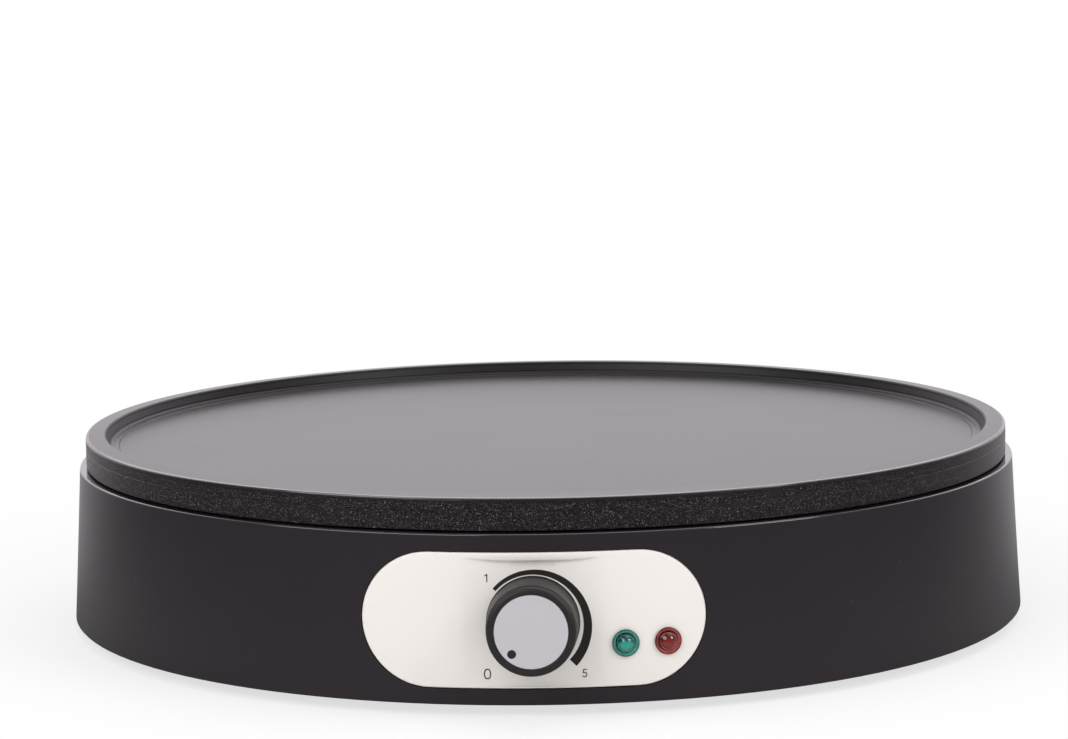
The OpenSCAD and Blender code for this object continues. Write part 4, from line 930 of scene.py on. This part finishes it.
def knobProfile(s):
    rear, front = s["gap"], s["gap"] + s["height"]
    floor = front - s["capDeep"]
    crown, bore, hub, bevel = floor - s["crown"], floor - s["boreDeep"], rear + s["hubShort"], s["bevel"]
    inner = [(s["bore"], bore), (s["bore"], hub), (s["hub"] - bevel, hub), (s["hub"], hub + bevel),
             (s["hub"], crown - 0.2), (s["hub"] + 0.2, crown), (s["frontRadius"] - s["skirt"] - bevel, crown),
             (s["frontRadius"] - s["skirt"], crown - bevel), (s["radius"] - s["skirt"], rear + 0.2),
             (s["radius"] - s["skirt"] + 0.2, rear)]
    turnIn = s["rearRound"]
    inner += roundCorner(s["radius"] - turnIn, rear + turnIn, turnIn, -90, 0)

    # the side swells a little, so that it turns towards the front as it rises
    bezelFoot = front - s["bezel"] - 0.15
    taper = (s["radius"] - s["frontRadius"]) / s["height"]
    outer = s["frontRadius"] + taper * (front - bezelFoot)
    below = bezelFoot - s["grooveWide"]
    rise, drawnIn = below - 0.2 - rear - turnIn, s["radius"] - outer - 0.04
    count = s["sideSteps"]
    side = [(s["radius"] - drawnIn * (i / count) ** s["swell"], rear + turnIn + rise * i / count)
            for i in range(1, count + 1)]
    groove = [(outer + 0.02, below - 0.08), (outer - 0.06, below), (outer - s["groove"], below + 0.02),
              (outer - s["groove"], bezelFoot - 0.02), (outer - 0.10, bezelFoot)]
    edge = s["frontRadius"] - s["bezel"]
    bezel = [(edge + s["bezel"] * math.cos(a) - 0.02, front - s["bezel"] + s["bezel"] * math.sin(a))
             for a in (math.radians(d) for d in (0, 12, 24, 36, 48, 60, 72, 82, 90))]
    seat = s["capRadius"] + 0.04
    recess = [(seat + 0.18, front), (seat + 0.04, front - 0.05), (seat, front - 0.16), (seat, floor)]
    return [(0, bore)] + inner + side + groove + bezel + recess + [(0, floor)]


def makeKnob(s):
    shape = bmesh.new()
    lathe(shape, knobProfile(s), dialFrame, s["steps"])
    front = s["gap"] + s["height"]
    foot, top, r = front - s["capDeep"] - 0.3, front - s["dotSunk"], s["dotRadius"] - 0.06
    corner = roundCorner(r - s["dotEdge"], top - s["dotEdge"], s["dotEdge"], 0, 90, 4)
    at = dialFrame @ Matrix.Translation(Vector((*dotCentre(s), 0)) * mm)
    lathe(shape, [(0, foot), (r, foot)] + corner + [(0, top)], at, s["dotSteps"])
    addPiece("knobBody", shape, coats["knob"], "knob", ["knob_body"])


def makeCap(s):
    front = s["gap"] + s["height"]
    foot, top, edge = front - s["capDeep"], front - s["capSunk"], s["capEdge"]
    dotX, dotY = dotCentre(s)
    hole = s["dotRadius"] + 0.02
    plan = ([], [])
    rounding = (0.0, 0.05, 0.2, 0.45, 0.75, 1.0)
    for f in rounding + (2.0, 8.0):
        addLoop(plan, around(0, 0, s["capRadius"] - edge * f, s["capSteps"]))
    for f in rounding:
        addLoop(plan, around(dotX, dotY, hole + edge * f, s["dotSteps"]))
    for ring in range(1, 11):
        for x, y in around(0, 0, ring * s["capGrid"], 8 * ring):
            if math.hypot(x - dotX, y - dotY) > hole + edge + 0.4:
                plan[0].append((x, y))

    def above(x, y):
        inside = min(s["capRadius"] - math.hypot(x, y), math.hypot(x - dotX, y - dotY) - hole)
        return dialFrame @ (Vector((x, y, top - roundedFall(inside, edge))) * mm)

    def below(x, y):
        return dialFrame @ (Vector((x, y, foot)) * mm)

    def keep(x, y):
        return math.hypot(x - dotX, y - dotY) >= hole

    shape = bmesh.new()
    plateOf(shape, plan, above, below, keep)
    addPiece("knobCap", shape, coats["cap"], "knob", ["knob_cap"], sharp=50)


makeKnob(knob)
makeCap(knob)
print("knob made")

# dial print: a tapered band, a dark ring under the knob's edge as painted shadow in the gap behind the knob,
# and plain figures
dialPrint = {
    "dark": colour(30, 27, 25), "light": colour(40, 37, 35), "tone": (0.35, 0.65), "roughness": 0.48,
    "grain": 0.12, "uneven": 0.1, "depth": 0.006,
    "thick": 0.05, "sunk": 0.02,
    "bandInner": 14.75, "bandLow": 0.68, "bandSteps": 90,
    "widths": [(137.2, 1.1), (90, 1.45), (45, 1.95), (0, 2.45), (-44.2, 2.75)],     # degrees, mm
    # the dark ring under the knob's edge: painted shadow for the gap behind the knob
    "ringInner": 11.5, "ringOuter": 13.75,
    "nought": (-13.5, -15.0), "noughtHalf": (1.05, 1.55), "line": 0.33,
    "one": (-13.4, 13.2),
    "five": (14.9, -15.0), "stroke": 0.27,
}


def inkMaterial(s):
    material, tree, shader = startMaterial("padPrintInk")
    grain = grainOf(tree, s)
    tone = spread(tree, grain["Height"], *s["tone"])
    link(tree, blendColour(tree, tone, s["dark"], s["light"]), shader["Base Color"])
    roughen(tree, shader, grain, s, grain["Mottle"])
    return material


def within(x, y, loop):
    inside = False
    for (x0, y0), (x1, y1) in zip(loop, loop[1:] + loop[:1]):
        if (y0 > y) != (y1 > y) and x < x0 + (y - y0) / (y1 - y0) * (x1 - x0):
            inside = not inside
    return inside


def inkShape(shape, loops, s):
    # a thin closed shape on the dial's flat, from an outer loop and its holes
    plan = ([], [])
    for loop in loops:
        addLoop(plan, loop)

    def onFlat(height):
        return lambda x, y: dialFrame @ (Vector((x, y, height)) * mm)

    def keep(x, y):
        return within(x, y, loops[0]) and not any(within(x, y, hole) for hole in loops[1:])

    plateOf(shape, plan, onFlat(s["thick"]), onFlat(-s["sunk"]), keep)


def widthAt(pairs, angle):
    for (a, x), (b, y) in zip(pairs, pairs[1:]):
        if b <= angle <= a:
            return x + (y - x) * (a - angle) / (a - b)
    return pairs[-1][1]


def stroke(path, width):
    # the two sides of a drawn line, square at its ends
    left, right = [], []
    for i, (x, y) in enumerate(path):
        x0, y0 = path[max(0, i - 1)]
        x1, y1 = path[min(len(path) - 1, i + 1)]
        length = math.hypot(x1 - x0, y1 - y0)
        nx, ny = -(y1 - y0) / length * width / 2, (x1 - x0) / length * width / 2
        left.append((x + nx, y + ny))
        right.append((x - nx, y - ny))
    return left + right[::-1]


def ovalLoop(cx, cy, rx, ry, count=48, power=2.35):
    points = []
    for i in range(count):
        a = 2 * math.pi * i / count
        c, n = math.cos(a), math.sin(a)
        points.append((cx + rx * math.copysign(abs(c) ** (2 / power), c),
                       cy + ry * math.copysign(abs(n) ** (2 / power), n)))
    return points


def bandLoop(s):
    start, end = s["widths"][0][0], s["widths"][-1][0]
    inner, outer = [], []
    for i in range(s["bandSteps"] + 1):
        a = start + (end - start) * i / s["bandSteps"]
        for side, r in ((inner, s["bandInner"]), (outer, s["bandInner"] + widthAt(s["widths"], a))):
            side.append(onCircle(0, -s["bandLow"], r, math.radians(a)))
    return outer + inner[::-1]


def noughtLoops(s):
    (x, y), (across, up) = s["nought"], s["noughtHalf"]
    return [ovalLoop(x, y, across, up), ovalLoop(x, y, across - s["line"], up - s["line"] - 0.01)]


def oneLoop(s):
    x, y = s["one"]
    return [(x - 0.02, y - 1.2), (x + 0.28, y - 1.2), (x + 0.28, y + 1.2), (x + 0.03, y + 1.2),
            (x - 0.22, y + 0.93), (x - 0.62, y + 0.76), (x - 0.62, y + 0.50), (x - 0.02, y + 0.68)]


def fiveStrokes(s):
    x, y = s["five"]
    return [[(x + 0.60, y + 1.08), (x - 0.32, y + 1.08)],
            [(x - 0.34, y + 1.20), (x - 0.50, y + 0.02)],
            roundCorner(x - 0.08, y - 0.42, 0.66, 128, -150, 20)]


def makePrint(s):
    ink = inkMaterial(s)
    # the ring is painted shadow, seen through the gap behind the knob
    ring = [ovalLoop(0, 0, s["ringOuter"], s["ringOuter"], 160, 2),
            ovalLoop(0, 0, s["ringInner"], s["ringInner"], 120, 2)]
    figures = {
        "dialBand": [[bandLoop(s)]],
        "knobShadowRing": [ring],
        "dialNought": [noughtLoops(s)],
        "dialOne": [[oneLoop(s)]],
        "dialFive": [[stroke(path, s["stroke"])] for path in fiveStrokes(s)],
    }
    for name, parts in figures.items():
        shape = bmesh.new()
        for loops in parts:
            inkShape(shape, loops, s)
        addPiece(name, shape, ink, "base")


makePrint(dialPrint)
print("dial print made")

# pilot lenses: a clear tinted shell with a flange and a dome, over a core painted pale below and dark above
lens = {
    "flange": 4.05, "edge": 0.42, "seat": 0.06, "flangeHigh": 0.95,
    "ringOuter": 3.40, "ringInner": 2.95, "ringDeep": 0.40,
    "domeHigh": 2.35, "domeSteps": 16, "barrel": 3.0, "barrelLong": 9.0, "wallThick": 0.75,
    "coreHigh": 0.25, "coreLow": -0.6, "coreRim": 0.5, "steps": 96, "coreSteps": 72,
}
lensShell = {
    "coat": 0.7, "toneSpread": 0.1, "grain": 1.4, "uneven": 0.3, "dust": 0.2, "dustSpacing": 1.6,
    "roughness": 0.03, "rubbed": 0.03, "depth": 0.003, "rimShadeFrom": (0.28, 0.04),
}
lensCore = {
    "grain": 0.5, "uneven": 0.2, "grainFrom": (0.5, 0.7), "grainShare": 0.15, "roughness": 0.42,
    "depth": 0.02, "shadeFrom": (-0.1, 0.9),
}
lensTints = {
    "green_lens": {
        "tint": colour(128, 226, 212), "tintPale": colour(142, 232, 220), "deep": colour(4, 52, 56),
        "pale": colour(150, 204, 196), "dust": colour(200, 226, 222),
    },
    "red_lens": {
        "tint": colour(238, 138, 132), "tintPale": colour(244, 152, 146), "deep": colour(72, 10, 16),
        "pale": colour(130, 56, 58), "dust": colour(232, 200, 196),
    },
}


def shellMaterial(name, lensName, tints, s):
    # its rim is painted in the deep tint: painted shade for the flange's dark edge, where the tint is seen
    # edge on
    material, tree, shader = startMaterial(name, IOR=1.5, Transmission_Weight=1.0, Coat_Weight=s["coat"],
                                           Coat_Roughness=s["roughness"])
    grain = grainOf(tree, s)
    marks = place(tree, handling, Dust_Spacing=s["dustSpacing"])
    tint = mottled(tree, grain, s, tints["tint"], tints["tintPale"])
    outwards = ofVectors(tree, "DISTANCE", coordinate(tree), lampFrame(lensName).translation)["Value"]
    rimEnds = ((lens["flange"] - inset) * mm for inset in s["rimShadeFrom"])
    tint = blendColour(tree, spread(tree, outwards, *rimEnds), tint, tints["deep"])
    tint = blendColour(tree, times(tree, marks["Dust"], s["dust"]), tint, tints["dust"])
    link(tree, tint, shader["Base Color"])
    roughen(tree, shader, grain, s, times(tree, marks["Rubbed"], s["rubbed"]))
    return material


def coreMaterial(name, tints, s):
    # painted light and shade: the core's lower part is pale as a painted image of the light through the dome,
    # and its upper part is dark as painted shade
    material, tree, shader = startMaterial(name)
    grain = grainOf(tree, s)
    upwards = partsOf(tree, coordinate(tree))["Z"]
    shadeEnds = ((lamps["z"] + rise) * mm for rise in s["shadeFrom"])
    tint = blendColour(tree, spread(tree, upwards, *shadeEnds), tints["pale"], tints["deep"])
    grainy = spread(tree, grain["Height"], *s["grainFrom"], 0.0, s["grainShare"])
    link(tree, blendColour(tree, grainy, tint, tints["deep"]), shader["Base Color"])
    roughen(tree, shader, grain, s, grain["Mottle"])
    return material


def lensProfile(s):
    high, inner = s["seat"] + s["flangeHigh"], s["barrel"] - s["wallThick"]
    foot, rise, r = high - s["ringDeep"], s["domeHigh"], s["ringInner"]
    ball = (r * r + rise * rise) / (2 * rise)
    centre = foot + rise - ball
    start, count = math.atan2(foot - centre, r), s["domeSteps"]
    dome = [onCircle(0, centre, ball, start + (math.pi / 2 - start) * i / count) for i in range(count)]
    roof = rise - s["wallThick"]
    hollow = [(x * inner / r, foot + 0.1 + (y - foot) * roof / rise) for x, y in dome]
    flange = [(s["flange"] - 0.1, s["seat"])]
    flange += roundCorner(s["flange"] - s["edge"], high - s["edge"], s["edge"], -10, 80, 8)
    flange += [(s["ringOuter"], high - 0.01), (s["ringOuter"] - 0.08, high - 0.06),
               (s["ringOuter"] - 0.14, foot), (r + 0.04, foot)]
    barrel = [(inner, -s["barrelLong"]), (s["barrel"], -s["barrelLong"]), (s["barrel"], s["seat"])]
    return [(0, foot + 0.1 + roof)] + hollow[::-1] + barrel + flange + dome + [(0, centre + ball)]


def coreProfile(s):
    # a shallow dish, its edge raised
    edge = s["barrel"] - s["wallThick"] - 0.03
    rim = s["coreHigh"] + s["coreRim"]
    dish = [(edge - 0.3 - 0.1 * i, s["coreHigh"] + 0.3 / (1 + i)) for i in range(4)]
    return ([(0, s["coreLow"]), (edge, s["coreLow"]), (edge, rim), (edge - 0.2, rim)] + dish
            + [(0, s["coreHigh"] - 0.15)])


def makeLens(name, s):
    piece, tints = name.replace("_lens", "Lens"), lensTints[name]
    shape = bmesh.new()
    lathe(shape, lensProfile(s), lampFrame(name), s["steps"])
    addPiece(piece, shape, shellMaterial(piece + "Shell", name, tints, lensShell), "base", [name])
    shape = bmesh.new()
    lathe(shape, coreProfile(s), lampFrame(name), s["coreSteps"])
    addPiece(piece + "Core", shape, coreMaterial(piece + "Core", tints, lensCore), "base")


for name in lensTints:
    makeLens(name, lens)
print("pilot lenses made")
